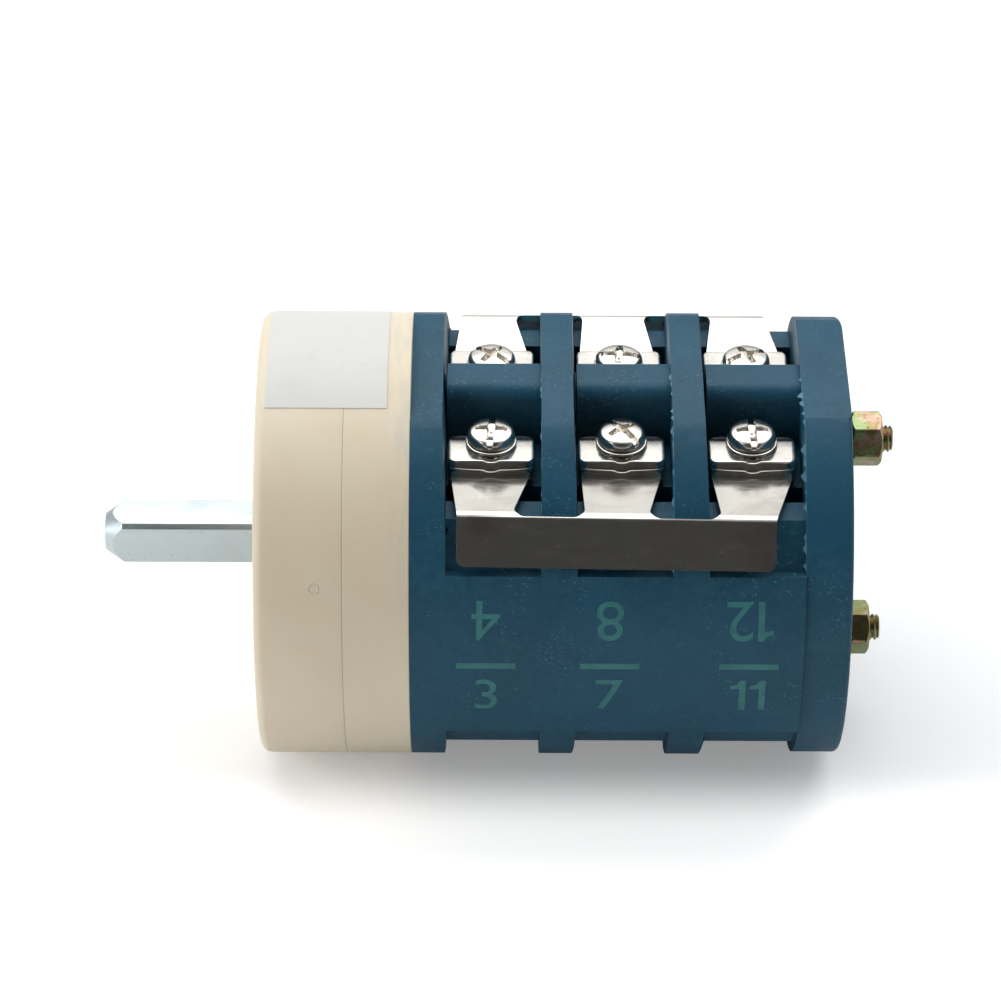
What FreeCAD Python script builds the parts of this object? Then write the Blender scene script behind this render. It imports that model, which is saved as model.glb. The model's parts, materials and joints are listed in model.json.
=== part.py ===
"""Forward reverse cam switch, three stages, four terminals a stage.

Frame: millimetres. The origin is the centre of the front face that seats on a panel, on the
spindle's axis. +X runs back through the switch, +Z is the side of the upper terminals, and
-Y is the side of the near terminals.
"""
import FreeCAD, Part
import math
import os
import re

from FreeCAD import Placement, Rotation, Vector

OUT = "parts"
SHEET = "Sizes"
STAGES = 3
STAGE_INDEX = range(STAGES)
DETENT_LOBES = 6
COIL_TURNS = 5
NEAR, FAR = -1, 1
LOWER, UPPER = -1, 1
DOME_MIDDLE = (0.62, 0.78)
NUT_TURNS = {LOWER: 25.0, UPPER: -22.6}

SIZES = {
    "body_radius": 32.0,
    "flat_height": 29.1,
    "cover_length": 12.4,
    "housing_length": 9.3,
    "cap_wall": 2.6,
    "cover_front": 3.0,
    "housing_floor": 2.4,
    "rim_round": 1.4,
    "stage_pitch": 18.3,
    "flange_thickness": 5.0,
    "flange_draft": 0.7,
    "recess_depth": 1.3,
    "pad_half_height": 13.7,
    "ridge_half": 4.0,
    "ridge_top": 28.0,
    "ridge_round": 2.2,
    "seat_height": 18.6,
    "pocket_floor": 15.4,
    "wall_inner": 19.4,
    "wall_gap": 0.05,
    "terminal_shift": -0.4,
    "contact_room_half": 14.2,
    "screw_room_skin": 0.4,
    "contact_room_inner": 12.5,
    "contact_room_outer": 25.0,
    "end_plate_thickness": 6.6,
    "end_plate_radius": 31.6,
    "end_round": 0.8,
    "end_floor": 2.0,
    "end_gap": 0.5,
    "bush_gap": 0.3,
    "rod_offset": 17.0,
    "rod_radius": 2.0,
    "rod_clearance": 0.25,
    "rod_boss_radius": 5.0,
    "rod_head_radius": 3.6,
    "rod_head_height": 2.4,
    "rod_tail": 1.6,
    "rod_chamfer": 0.4,
    "thread_gap": 0.02,
    "nut_seat_radius": 3.4,
    "nut_seat_height": 1.1,
    "nut_across_flats": 7.0,
    "nut_height": 4.4,
    "nut_chamfer": 0.45,
    "spindle_side": 7.0,
    "spindle_bevel": 0.6,
    "spindle_reach": 23.0,
    "spindle_tip_radius": 2.7,
    "spindle_tip_length": 2.6,
    "spindle_fit": 0.05,
    "running_gap": 0.05,
    "clip_thickness": 0.7,
    "clip_gap": 0.05,
    "clip_mouth_half": 2.4,
    "clip_radius": 6.6,
    "clip_groove_radius": 3.0,
    "hub_radius": 6.5,
    "hub_collar": 9.5,
    "hub_setback": 0.4,
    "wheel_gap": 0.2,
    "lobe_radius": 8.5,
    "valley_radius": 7.2,
    "valley_groove": 3.0,
    "rotor_start": 9.3,
    "rotor_end": 18.0,
    "plunger_gap": 0.25,
    "plunger_half": 4.0,
    "plunger_length": 10.2,
    "plunger_start": 10.2,
    "plunger_travel": 1.2,
    "spring_pocket": 4.0,
    "spring_gap": 0.05,
    "guide_gap": 0.15,
    "guide_thickness": 1.5,
    "guide_lead": 2.5,
    "guide_tail": 3.0,
    "insert_offset": 18.0,
    "insert_radius": 2.6,
    "insert_bore_radius": 1.65,
    "insert_length": 7.0,
    "insert_setback": 0.05,
    "insert_gap": 0.25,
    "insert_boss_radius": 4.6,
    "cam_radius": 8.0,
    "cam_end_gap": 0.4,
    "cam_space_gap": 1.2,
    "cam_notch_radius": 2.6,
    "cam_notch_angle": 60.0,
    "passage_radius": 5.6,
    "follower_gap": 0.3,
    "follower_half": 4.4,
    "bar_face": 17.7,
    "bar_thickness": 1.2,
    "bar_half_length": 13.6,
    "bar_half_width": 3.5,
    "button_radius": 1.8,
    "button_height": 1.0,
    "button_offset": 11.7,
    "strip_thickness": 1.1,
    "strip_half_width": 5.8,
    "strip_inner": 6.0,
    "strip_outer": 14.2,
    "leg_half_width": 4.0,
    "leg_end": 9.8,
    "slot_gap": 0.12,
    "screw_offset": 9.4,
    "screw_radius": 1.95,
    "screw_head_radius": 3.4,
    "screw_head_height": 1.9,
    "screw_edge_height": 1.05,
    "screw_reach": 4.2,
    "recess_width": 0.95,
    "recess_span": 4.6,
    "recess_cut": 1.3,
    "washer_radius": 3.65,
    "washer_thickness": 0.7,
    "washer_split": 0.6,
    "clamp_half_width": 6.05,
    "clamp_inner": 7.5,
    "clamp_outer": 13.9,
    "clamp_thickness": 1.2,
    "wire_plate_thickness": 0.9,
    "wire_plate_bulge": 0.6,
    "clamp_corner": 1.0,
    "strap_thickness": 0.8,
    "strap_inner": 7.6,
    "strap_near_turn": 1.2,
    "strap_knee": 0.8,
    "strap_tilt": 5.9,
    "strap_lean": 55.5,
    "strap_clearance": 0.1,
    "strap_bar_height": 7.3,
    "strap_root_half": 5.6,
    "strap_neck_half": 4.3,
    "strap_end_half": 3.75,
    "strap_shift": -0.6,
    "strap_bend": 1.5,
    "strap_corner": 1.2,
    "strap_notch_round": 1.6,
    "spring_wire": 0.7,
    "bridge_spring_radius": 2.4,
    "detent_spring_radius": 3.0,
    "label_start": 1.4,
    "label_end": 18.4,
    "label_near": 11.6,
    "label_far": 20.6,
    "label_thickness": 0.12,
}

doc = FreeCAD.newDocument("forward_reverse_switch")
sheet = doc.addObject("Spreadsheet::Sheet", SHEET)
for row, (alias, value) in enumerate(SIZES.items(), start=1):
    sheet.set(f"A{row}", alias)
    sheet.set(f"B{row}", str(value))
    sheet.setAlias(f"B{row}", alias)
doc.recompute()

ALONG_X = Rotation(Vector(0, 1, 0), 90)
ALONG_Y = Rotation(Vector(1, 0, 0), -90)
ALONG_Z = Rotation()
WORD = re.compile(r"[a-z][a-z_]*")

CAP = "(cover_length + housing_length)"
END_START = f"({CAP} + {STAGES} * stage_pitch)"
END_FACE = f"({END_START} + end_plate_thickness)"
NUT_FACE = f"({END_FACE} + nut_seat_height)"
REACH = "(2 * body_radius)"
RECESS_RADIUS = "(body_radius - recess_depth)"
STRIP_TOP = "(seat_height + strip_thickness)"
SEAT_OUTER = "(strip_outer + slot_gap)"


def size(alias):
    """Read one driving dimension from the sheet as a number."""
    return float(sheet.get(alias))


def bound(text):
    """Turn an expression of size names into one that reads them from the sheet."""
    return WORD.sub(lambda word: f"{SHEET}.{word[0]}" if word[0] in SIZES else word[0], str(text))


def bind(thing, **properties):
    """Bind each named property of a feature to an expression of sizes."""
    for name, text in properties.items():
        thing.setExpression(name.replace("__", "."), bound(text))
    return thing


def place(thing, x, y, z, rotation=ALONG_Z):
    """Turn a feature and bind its position to three expressions."""
    thing.Placement = Placement(Vector(), rotation)
    return bind(thing, Placement__Base__x=x, Placement__Base__y=y, Placement__Base__z=z)


def block(name, x, y, z):
    """Make a box from three pairs of expressions, its low and high side on each axis."""
    thing = doc.addObject("Part::Box", name)
    bind(thing, Length=f"({x[1]}) - ({x[0]})", Width=f"({y[1]}) - ({y[0]})", Height=f"({z[1]}) - ({z[0]})")
    return place(thing, x[0], y[0], z[0])


def rod(name, radius, x, y="0", z="0"):
    """Make a cylinder along X between two expressions."""
    thing = doc.addObject("Part::Cylinder", name)
    bind(thing, Radius=radius, Height=f"({x[1]}) - ({x[0]})")
    return place(thing, x[0], y, z, ALONG_X)


def peg(name, radius, x, y, z):
    """Make a cylinder along Y, from a pair of expressions for its two ends."""
    thing = doc.addObject("Part::Cylinder", name)
    bind(thing, Radius=radius, Height=f"({y[1]}) - ({y[0]})")
    return place(thing, x, y[0], z, ALONG_Y)


def post(name, radius, x, y, z):
    """Make a cylinder along Z, from a pair of expressions for its two ends."""
    thing = doc.addObject("Part::Cylinder", name)
    bind(thing, Radius=radius, Height=f"({z[1]}) - ({z[0]})")
    return place(thing, x, y, z[0], ALONG_Z)


def span(side, low, high):
    """Mirror a pair of expressions to the negative side where side is -1."""
    return (low, high) if side > 0 else (f"-({high})", f"-({low})")


def fuse(name, things):
    """Join features into one solid with no seams."""
    thing = doc.addObject("Part::MultiFuse", name)
    thing.Shapes = things
    thing.Refine = True
    return thing


def common(name, first, second):
    """Keep what two features share."""
    thing = doc.addObject("Part::Common", name)
    thing.Base = first
    thing.Tool = second
    return thing


def cut(name, base, tools):
    """Cut several features from a base."""
    cutter = tools[0] if len(tools) == 1 else fuse(f"{name}_tools", tools)
    thing = doc.addObject("Part::Cut", name)
    thing.Base = base
    thing.Tool = cutter
    thing.Refine = True
    return thing


def fixed(name, shape):
    """Hold a shape that was worked out from the sheet in a feature of its own."""
    thing = doc.addObject("Part::Feature", name)
    thing.Shape = shape
    thing.Placement = Placement()
    return thing


def copies(name, shape, placements):
    """Repeat one fastener at several placements, as separate solids of one node."""
    return fixed(name, Part.makeCompound([shape.transformed(spot.toMatrix()) for spot in placements]))


def square_bar(name, x, clearance="0"):
    """Make a square bar about the axis, as wide as the spindle plus a clearance all round."""
    half = f"(spindle_side / 2 + {clearance})"
    return block(name, x, (f"-{half}", half), (f"-{half}", half))


def edges_on_circle(shape, radius, x):
    """Name the edges that run round the axis at a radius and a place along it."""
    found = []
    for number, edge in enumerate(shape.Edges, start=1):
        ends = [vertex.Point for vertex in edge.Vertexes] + [edge.CenterOfMass]
        on_plane = all(abs(point.x - x) < 1e-4 for point in ends)
        on_circle = all(abs(math.hypot(point.y, point.z) - radius) < 1e-3 for point in ends[:-1])
        if on_plane and on_circle and edge.Curve.TypeId == "Part::GeomCircle":
            found.append(number)
    return found


def round_circle(name, base, radius, x, amount):
    """Round the rim of a turned piece."""
    doc.recompute()
    thing = doc.addObject("Part::Fillet", name)
    thing.Base = base
    thing.Edges = [(number, amount, amount) for number in edges_on_circle(base.Shape, radius, x)]
    return thing


def rod_holes(name, x):
    """Make the two clearance holes for the tie rods."""
    return [
        rod(f"{name}_{level + 1}", "rod_radius + rod_clearance", x, z=f"{level} * rod_offset")
        for level in (LOWER, UPPER)
    ]


def flat_cuts(name, x, height):
    """Make the two slabs that trim a disc to its upper and lower flats."""
    return [
        block(f"{name}_{level + 1}", x, (f"-{REACH}", REACH), span(level, height, REACH))
        for level in (LOWER, UPPER)
    ]


def cover():
    """Build the front half of the cap, with its bearing, rod bosses and insert bosses."""
    shell = rod("cover_disc", "body_radius", ("0", "cover_length"))
    shell = round_circle("cover_rounded", shell, size("body_radius"), 0.0, size("rim_round"))
    hollow = rod("cover_hollow", "body_radius - cap_wall", ("cover_front", "cover_length + 1"))
    cup = cut("cover_cup", shell, [hollow])
    solid = [cup, rod("cover_collar", "hub_collar", ("0.5 * cover_front", "rotor_start - wheel_gap"))]
    for level in (LOWER, UPPER):
        solid.append(rod(f"cover_rod_boss_{level + 1}", "rod_boss_radius",
                         ("0.5 * cover_front", "cover_length"), z=f"{level} * rod_offset"))
    for side in (NEAR, FAR):
        solid.append(rod(f"cover_insert_boss_{side + 1}", "insert_boss_radius",
                         ("0.5 * cover_front", "insert_length + 1"), y=f"{side} * insert_offset"))
    holes = [rod("cover_bearing", "hub_radius + running_gap", ("-1", "cover_length"))]
    holes += rod_holes("cover_rod_hole", ("-1", "cover_length + 1"))
    for level in (LOWER, UPPER):
        holes.append(rod(f"cover_head_room_{level + 1}", "rod_head_radius + rod_clearance",
                         ("-1", "rod_head_height + rod_clearance"), z=f"{level} * rod_offset"))
    for side in (NEAR, FAR):
        holes.append(rod(f"cover_insert_hole_{side + 1}", "insert_radius",
                         ("-1", "insert_length"), y=f"{side} * insert_offset"))
    return cut("mechanism_cover", fuse("cover_solid", solid), holes)


def housing():
    """Build the rear half of the cap, with its floor, rod bosses and plunger guides."""
    x = ("cover_length", CAP)
    hollow = rod("housing_hollow", "body_radius - cap_wall", ("cover_length - 1", f"{CAP} - housing_floor"))
    cup = cut("housing_cup", rod("housing_disc", "body_radius", x), [hollow])
    inner = ("cover_length", f"{CAP} - 0.5 * housing_floor")
    reach = ("lobe_radius + guide_lead", "lobe_radius + plunger_length + guide_tail")
    solid = [cup]
    for level in (LOWER, UPPER):
        solid.append(rod(f"housing_rod_boss_{level + 1}", "rod_boss_radius", inner, z=f"{level} * rod_offset"))
        for side in (NEAR, FAR):
            low = "plunger_half + guide_gap"
            solid.append(block(f"housing_guide_{level + 1}_{side + 1}", inner, span(side, *reach),
                               span(level, low, f"{low} + guide_thickness")))
    holes = [rod("housing_passage", "passage_radius", ("cover_length - 1", f"{CAP} + 1"))]
    holes += rod_holes("housing_rod_hole", ("cover_length - 1", f"{CAP} + 1"))
    return cut("mechanism_housing", fuse("housing_solid", solid), holes)


def flange_taper(name, face, level):
    """Make the wedge that thins a flange from its root at the terminal seats out to its flat."""
    thing = doc.addObject("Part::Wedge", name)
    thing.Placement = Placement(Vector(), Rotation(Vector(1, 0, 0), 90 * level))
    bind(thing, Xmin=f"({face}) - 0.001", X2min=f"({face}) - flange_draft", Xmax=f"({face}) + 0.01",
         X2max=f"({face}) + 0.01", Ymin="seat_height", Ymax="body_radius",
         Zmin=f"-{REACH}", Zmax=REACH, Z2min=f"-{REACH}", Z2max=REACH)
    return thing


def terminal_spots(start):
    """Give the four terminals of a stage as side, level and the middle of their bay along X."""
    middle = f"({start} + (flange_thickness + stage_pitch) / 2 + terminal_shift)"
    return [(side, level, middle) for level in (LOWER, UPPER) for side in (NEAR, FAR)]


def stage_start(index):
    """Give the place along X where a stage's flange begins."""
    return f"({CAP} + {index} * stage_pitch)"


def chamber(index):
    """Build one moulded stage: its flange, ridge, terminal seats, pads and contact rooms."""
    name = f"chamber_{index + 1}"
    start = stage_start(index)
    bay = (f"{start} + flange_thickness", f"{start} + stage_pitch")
    over = (bay[0], f"{bay[1]} + 1")
    whole = (start, bay[1])
    slab = block(f"{name}_pad_slab", whole, (f"-{REACH}", REACH), ("-pad_half_height", "pad_half_height"))
    pads = common(f"{name}_pads", rod(f"{name}_pad_disc", "body_radius", whole), slab)
    solid = fuse(f"{name}_solid", [
        rod(f"{name}_flange", "body_radius", (start, bay[0])),
        rod(f"{name}_barrel", RECESS_RADIUS, whole),
        pads,
    ])
    tools = flat_cuts(f"{name}_flat", (f"{start} - 1", f"{bay[1]} + 1"), "flat_height")
    tools += flat_cuts(f"{name}_ridge_top", over, "ridge_top")
    tools += [flange_taper(f"{name}_taper_{level + 1}", bay[0], level) for level in (LOWER, UPPER)]
    for side, level, middle in terminal_spots(start):
        tag = f"{name}_{side + 1}{level + 1}"
        tools += [
            block(f"{tag}_seat", over, span(side, "ridge_half", REACH), span(level, "seat_height", REACH)),
            block(f"{tag}_pocket", over, span(side, SEAT_OUTER, "wall_inner"),
                  span(level, "pocket_floor", REACH)),
            block(f"{tag}_leg_slot",
                  (f"{middle} - leg_half_width - slot_gap", f"{middle} + leg_half_width + slot_gap"),
                  span(side, "strip_outer - strip_thickness - slot_gap", SEAT_OUTER),
                  span(level, "contact_room_half - 1", "seat_height + 1")),
            post(f"{tag}_screw_room", "screw_radius + rod_clearance", middle, f"{side} * screw_offset",
                 span(level, "contact_room_half + screw_room_skin", "seat_height + 1")),
        ]
    for side in (NEAR, FAR):
        tag = f"{name}_{side + 1}"
        guide = "follower_half + guide_gap"
        tools += [
            block(f"{tag}_guide", over, span(side, "0", "contact_room_inner + 1"), (f"-({guide})", guide)),
            block(f"{tag}_room", over, span(side, "contact_room_inner", "contact_room_outer"),
                  ("-contact_room_half", "contact_room_half")),
        ]
    tools.append(rod(f"{name}_cam_room", "cam_radius + cam_space_gap", over))
    tools.append(rod(f"{name}_passage", "passage_radius", (f"{start} - 1", f"{bay[1]} + 1")))
    tools += rod_holes(f"{name}_rod_hole", (f"{start} - 1", f"{bay[1]} + 1"))
    walls = []
    for side in (NEAR, FAR):
        for level in (LOWER, UPPER):
            walls.append(block(f"{name}_wall_{side + 1}{level + 1}", bay, span(side, "wall_inner", REACH),
                               span(level, "seat_height - 1", f"{STRIP_TOP} - wall_gap")))
    disc = rod(f"{name}_wall_disc", RECESS_RADIUS, bay)
    rim = common(f"{name}_walls", disc, fuse(f"{name}_wall_blocks", walls))
    body = cut(f"{name}_trimmed", solid, tools)
    return round_ridges(name, fuse(f"{name}_moulded", [body, rim]), start)


def round_ridges(name, base, start):
    """Round the long top edges of a stage's two ridges."""
    doc.recompute()
    half, top = size("ridge_half"), size("ridge_top")
    numbers = []
    for number, edge in enumerate(base.Shape.Edges, start=1):
        ends = [vertex.Point for vertex in edge.Vertexes]
        at_corner = all(abs(abs(p.y) - half) < 1e-4 and abs(abs(p.z) - top) < 1e-4 for p in ends)
        if len(ends) == 2 and at_corner and abs(ends[0].y - ends[1].y) < 1e-4:
            numbers.append(number)
    amount = min(size("ridge_round"), 0.9 * half)
    thing = doc.addObject("Part::Fillet", name)
    thing.Base = base
    thing.Edges = [(number, amount, amount) for number in numbers]
    return thing


def end_plate():
    """Build the rear plate, with its blind bearing and the raised seats for the two nuts."""
    disc = rod("end_disc", "end_plate_radius", (END_START, END_FACE))
    disc = round_circle("end_rounded", disc, size("end_plate_radius"), end_face_x(), size("end_round"))
    flats = flat_cuts("end_flat", (f"{END_START} - 1", f"{END_FACE} + 1"), "flat_height")
    trimmed = cut("end_trimmed", disc, flats)
    seat_x = (f"{END_FACE} - 1", NUT_FACE)
    seats = [rod(f"end_nut_seat_{level + 1}", "nut_seat_radius", seat_x, z=f"{level} * rod_offset")
             for level in (LOWER, UPPER)]
    holes = rod_holes("end_rod_hole", (f"{END_START} - 1", f"{NUT_FACE} + 1"))
    holes.append(rod("end_bearing", "hub_radius + running_gap",
                     (f"{END_START} - 1", f"{END_FACE} - end_floor")))
    return cut("end_plate", fuse("end_solid", [trimmed] + seats), holes)


def spindle():
    """Build the square spindle, with bevelled corners, a coned tip and the clip's groove."""
    rear = f"({END_FACE} - end_floor - end_gap)"
    bar = square_bar("spindle_bar", ("-spindle_reach", rear))
    corner = "(spindle_side / sqrt(2) - spindle_bevel / sqrt(2))"
    envelope = doc.addObject("Part::Cone", "spindle_cone")
    bind(envelope, Radius1="spindle_tip_radius", Radius2=corner, Height="spindle_tip_length")
    place(envelope, "-spindle_reach", "0", "0", ALONG_X)
    shank = rod("spindle_shank", corner, ("-spindle_reach + spindle_tip_length", rear))
    turned = common("spindle_turned", bar, fuse("spindle_envelope", [envelope, shank]))
    groove_x = ("rotor_end", "rotor_end + clip_thickness + 2 * clip_gap")
    groove = cut("spindle_groove", rod("spindle_groove_outer", "spindle_side", groove_x),
                 [rod("spindle_groove_inner", "clip_groove_radius", groove_x)])
    return cut("spindle", turned, [groove])


def spindle_clip():
    """Build the retaining ring that seats in the spindle's groove."""
    x = ("rotor_end + clip_gap", "rotor_end + clip_gap + clip_thickness")
    ring = rod("clip_ring", "clip_radius", x)
    bore = rod("clip_bore", "clip_groove_radius + spindle_fit", x)
    mouth = block("clip_mouth", x, ("-clip_mouth_half", "clip_mouth_half"), ("-clip_radius - 1", "0"))
    return cut("spindle_clip", ring, [bore, mouth])


def detent_rotor():
    """Build the star wheel: lobes with valleys between, and the hub that runs in the cover."""
    wheel = rod("detent_wheel", "lobe_radius", ("rotor_start", "rotor_end"))
    hub = rod("detent_hub", "hub_radius", ("hub_setback", "rotor_start + 1"))
    solid = fuse("detent_solid", [wheel, hub])
    tools = [square_bar("detent_square", ("-1", "rotor_end + 1"), "spindle_fit")]
    for turn in range(DETENT_LOBES):
        angle = math.radians(turn * 360 / DETENT_LOBES)
        tools.append(rod(f"detent_valley_{turn}", "valley_groove",
                         ("rotor_start - wheel_gap", "rotor_end + 1"),
                         y=f"{math.cos(angle):.6f} * (valley_radius + valley_groove)",
                         z=f"{math.sin(angle):.6f} * (valley_radius + valley_groove)"))
    return cut("detent_rotor", solid, tools)


def plunger(side):
    """Build one detent plunger, a block with a rounded nose that rides the star wheel."""
    name = f"detent_plunger_{side_word(side)}"
    nose = "(lobe_radius + plunger_gap)"
    x = ("plunger_start", "rotor_end")
    y = span(side, f"{nose} + plunger_half", f"{nose} + plunger_length")
    stem = block(f"{name}_stem", x, y, ("-plunger_half", "plunger_half"))
    tip = rod(f"{name}_tip", "plunger_half", x, y=f"{side} * ({nose} + plunger_half)")
    pocket = peg(f"{name}_pocket", "detent_spring_radius + guide_gap", "(plunger_start + rotor_end) / 2",
                 span(side, f"{nose} + plunger_length - spring_pocket", f"{nose} + plunger_length + 1"), "0")
    return cut(name, fuse(f"{name}_solid", [stem, tip]), [pocket])


def coil(radius, wire, low, high, side, x):
    """Wind a compression spring along Y from low to high."""
    length = high - low - wire
    helix = Part.makeHelix(length / COIL_TURNS, length, radius - wire / 2)
    start = helix.Edges[0].Vertexes[0].Point
    profile = Part.Wire(Part.makeCircle(wire / 2, start, Vector(0, 1, 0)))
    shape = Part.Wire(helix).makePipeShell([profile], True, True)
    turn = Rotation(Vector(1, 0, 0), -90 * side)
    spot = Placement(Vector(x, side * (low + wire / 2), 0), turn)
    return Part.makeCompound([shape.transformed(spot.toMatrix())])


def detent_spring(side):
    """Build the spring that presses one plunger inwards."""
    name = f"detent_spring_{side_word(side)}"
    low = size("lobe_radius") + size("plunger_gap") + size("plunger_length") - size("spring_pocket")
    low += size("plunger_travel") + size("spring_gap")
    wall = size("body_radius") - size("cap_wall")
    radius = size("detent_spring_radius")
    high = math.sqrt(wall ** 2 - radius ** 2)
    middle = (size("plunger_start") + size("rotor_end")) / 2
    return fixed(name, coil(radius, size("spring_wire"), low, high - size("spring_gap"), side, middle))


def cam(index):
    """Build one stage's cam, a disc on the spindle with a notch for each follower."""
    name = f"cam_{index + 1}"
    start = stage_start(index)
    x = (f"{start} + flange_thickness + cam_end_gap", f"{start} + stage_pitch - cam_end_gap")
    tools = [square_bar(f"{name}_square", (f"{x[0]} - 1", f"{x[1]} + 1"), "spindle_fit")]
    for side in (NEAR, FAR):
        angle = f"(cam_notch_angle * {side})"
        tools.append(rod(f"{name}_notch_{side + 1}", "cam_notch_radius", (f"{x[0]} - 1", f"{x[1]} + 1"),
                         y=f"{side} * (cam_radius + 1) * cos({angle})",
                         z=f"{-side} * (cam_radius + 1) * sin({angle})"))
    return cut(name, rod(f"{name}_disc", "cam_radius", x), tools)


def terminal_middle(index):
    """Give the middle of a stage's terminals along X, as an expression."""
    return terminal_spots(stage_start(index))[0][2]


def terminal_x(index):
    """Give the middle of a stage's terminals along X, as a number."""
    start = size("cover_length") + size("housing_length") + index * size("stage_pitch")
    return start + (size("flange_thickness") + size("stage_pitch")) / 2 + size("terminal_shift")


def end_face_x():
    """Give the place of the end plate's rear face along X, as a number."""
    cap = size("cover_length") + size("housing_length")
    return cap + STAGES * size("stage_pitch") + size("end_plate_thickness")


def side_word(side):
    """Name a side of the switch."""
    return "near" if side == NEAR else "far"


def follower(index, side):
    """Build the moulded follower between a cam and its moving contact bar."""
    name = f"follower_{index + 1}_{side_word(side)}"
    start = stage_start(index)
    return block(name, (f"{start} + flange_thickness + cam_end_gap", f"{start} + stage_pitch - cam_end_gap"),
                 span(side, "cam_radius + follower_gap", "bar_face"), ("-follower_half", "follower_half"))


def contact_bar(index, side):
    """Build the moving contact bar that bridges the upper and lower contact of one side."""
    name = f"contact_bar_{index + 1}_{side_word(side)}"
    middle = terminal_middle(index)
    pieces = [block(f"{name}_strip", (f"{middle} - bar_half_width", f"{middle} + bar_half_width"),
                    span(side, "bar_face", "bar_face + bar_thickness"),
                    ("-bar_half_length", "bar_half_length"))]
    for level in (LOWER, UPPER):
        pieces.append(peg(f"{name}_button_{level + 1}", "button_radius", middle,
                          span(side, "bar_face - button_height", "bar_face + 0.5 * bar_thickness"),
                          f"{level} * button_offset"))
    return fuse(name, pieces)


def bridge_springs():
    """Wind the six springs that press the moving contact bars inwards."""
    springs = []
    low = size("bar_face") + size("bar_thickness")
    for index in STAGE_INDEX:
        for side in (NEAR, FAR):
            springs.append(coil(size("bridge_spring_radius"), size("spring_wire"), low,
                                size("contact_room_outer"), side, terminal_x(index)))
    return fixed("bridge_springs", Part.makeCompound(springs))


def terminal_number(index, side, level):
    """Number the terminals as they are marked: near side 4 above 3, far side 1 above 2."""
    first = {(FAR, UPPER): 1, (FAR, LOWER): 2, (NEAR, LOWER): 3, (NEAR, UPPER): 4}[(side, level)]
    return 4 * index + first


def terminal_strip(index, side, level):
    """Build one fixed contact: its plate on the seat, its leg and its contact button."""
    name = f"terminal_strip_{terminal_number(index, side, level)}"
    middle = terminal_middle(index)
    plate = block(f"{name}_plate", (f"{middle} - strip_half_width", f"{middle} + strip_half_width"),
                  span(side, "strip_inner", "strip_outer"), span(level, "seat_height", STRIP_TOP))
    leg = block(f"{name}_leg", (f"{middle} - leg_half_width", f"{middle} + leg_half_width"),
                span(side, "strip_outer - strip_thickness", "strip_outer"), span(level, "leg_end", STRIP_TOP))
    button = peg(f"{name}_button", "button_radius", middle,
                 span(side, "strip_outer - 0.5 * strip_thickness", "strip_outer + button_height"),
                 f"{level} * button_offset")
    hole = post(f"{name}_hole", "screw_radius + slot_gap", middle, f"{side} * screw_offset",
                span(level, "seat_height - 1", f"{STRIP_TOP} + 1"))
    return cut(name, fuse(f"{name}_solid", [plate, leg, button]), [hole])


def stack_spots(lift):
    """Give the placement of each terminal's stack: upper stacks stand on a strap, lower ones don't."""
    spots = []
    for index in STAGE_INDEX:
        for level in (LOWER, UPPER):
            height = size("seat_height") + size("strip_thickness") + lift
            height += size("strap_thickness") if level == UPPER else 0.0
            for side in (NEAR, FAR):
                turn = Rotation(Vector(0, 0, 1), 0 if side == FAR else 180)
                if level == LOWER:
                    turn = Rotation(Vector(0, 1, 0), 180) * turn
                spots.append(Placement(Vector(terminal_x(index), 0, level * height), turn))
    return spots


def upright_edges(shape):
    """Find the edges of a plate that stand along Z."""
    return [edge for edge in shape.Edges if abs(edge.tangentAt(edge.FirstParameter).z) > 0.9]


def plates(name, outline, thickness, lift):
    """Build twelve plates from the faces between their sides, each with rounded corners and a screw hole."""
    plate = Part.Face(Part.Wire(outline)).extrude(Vector(0, 0, thickness))
    plate = plate.makeFillet(size("clamp_corner"), upright_edges(plate))
    room = size("screw_radius") + size("slot_gap")
    hole = Part.makeCylinder(room, thickness, Vector(0, size("screw_offset"), 0))
    return copies(name, plate.cut(hole), stack_spots(lift))


def clamp_outline(bulge):
    """Draw a clamp plate's outline, with its outer side straight or bowed by a bulge."""
    half, inner, outer = size("clamp_half_width"), size("clamp_inner"), size("clamp_outer")
    corners = [Vector(x, y, 0) for x, y in ((half, outer), (half, inner), (-half, inner), (-half, outer))]
    sides = [Part.LineSegment(*pair).toShape() for pair in zip(corners, corners[1:])]
    if bulge > 0:
        sides.append(Part.Arc(corners[-1], Vector(0, outer + bulge, 0), corners[0]).toShape())
    else:
        sides.append(Part.LineSegment(corners[-1], corners[0]).toShape())
    return sides


def wire_plates():
    """Build the twelve lower plates, which press on the wire or on a strap."""
    return plates("wire_plates", clamp_outline(size("wire_plate_bulge")), size("wire_plate_thickness"), 0.0)


def clamp_plates():
    """Build the twelve upper plates, which the lock washers press on."""
    return plates("clamp_plates", clamp_outline(0.0), size("clamp_thickness"), size("wire_plate_thickness"))


def plates_height():
    """Give the height of both plates of a terminal together."""
    return size("wire_plate_thickness") + size("clamp_thickness")


def lock_washers():
    """Build twelve split lock washers."""
    spot = Vector(0, size("screw_offset"), 0)
    thickness = size("washer_thickness")
    ring = Part.makeCylinder(size("washer_radius"), thickness, spot)
    ring = ring.cut(Part.makeCylinder(size("screw_radius") + size("slot_gap"), thickness, spot))
    split = Part.makeBox(size("washer_radius") + 1, size("washer_split"), thickness,
                         spot - Vector(0, size("washer_split") / 2, 0))
    return copies("lock_washers", ring.cut(split), stack_spots(plates_height()))


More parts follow.
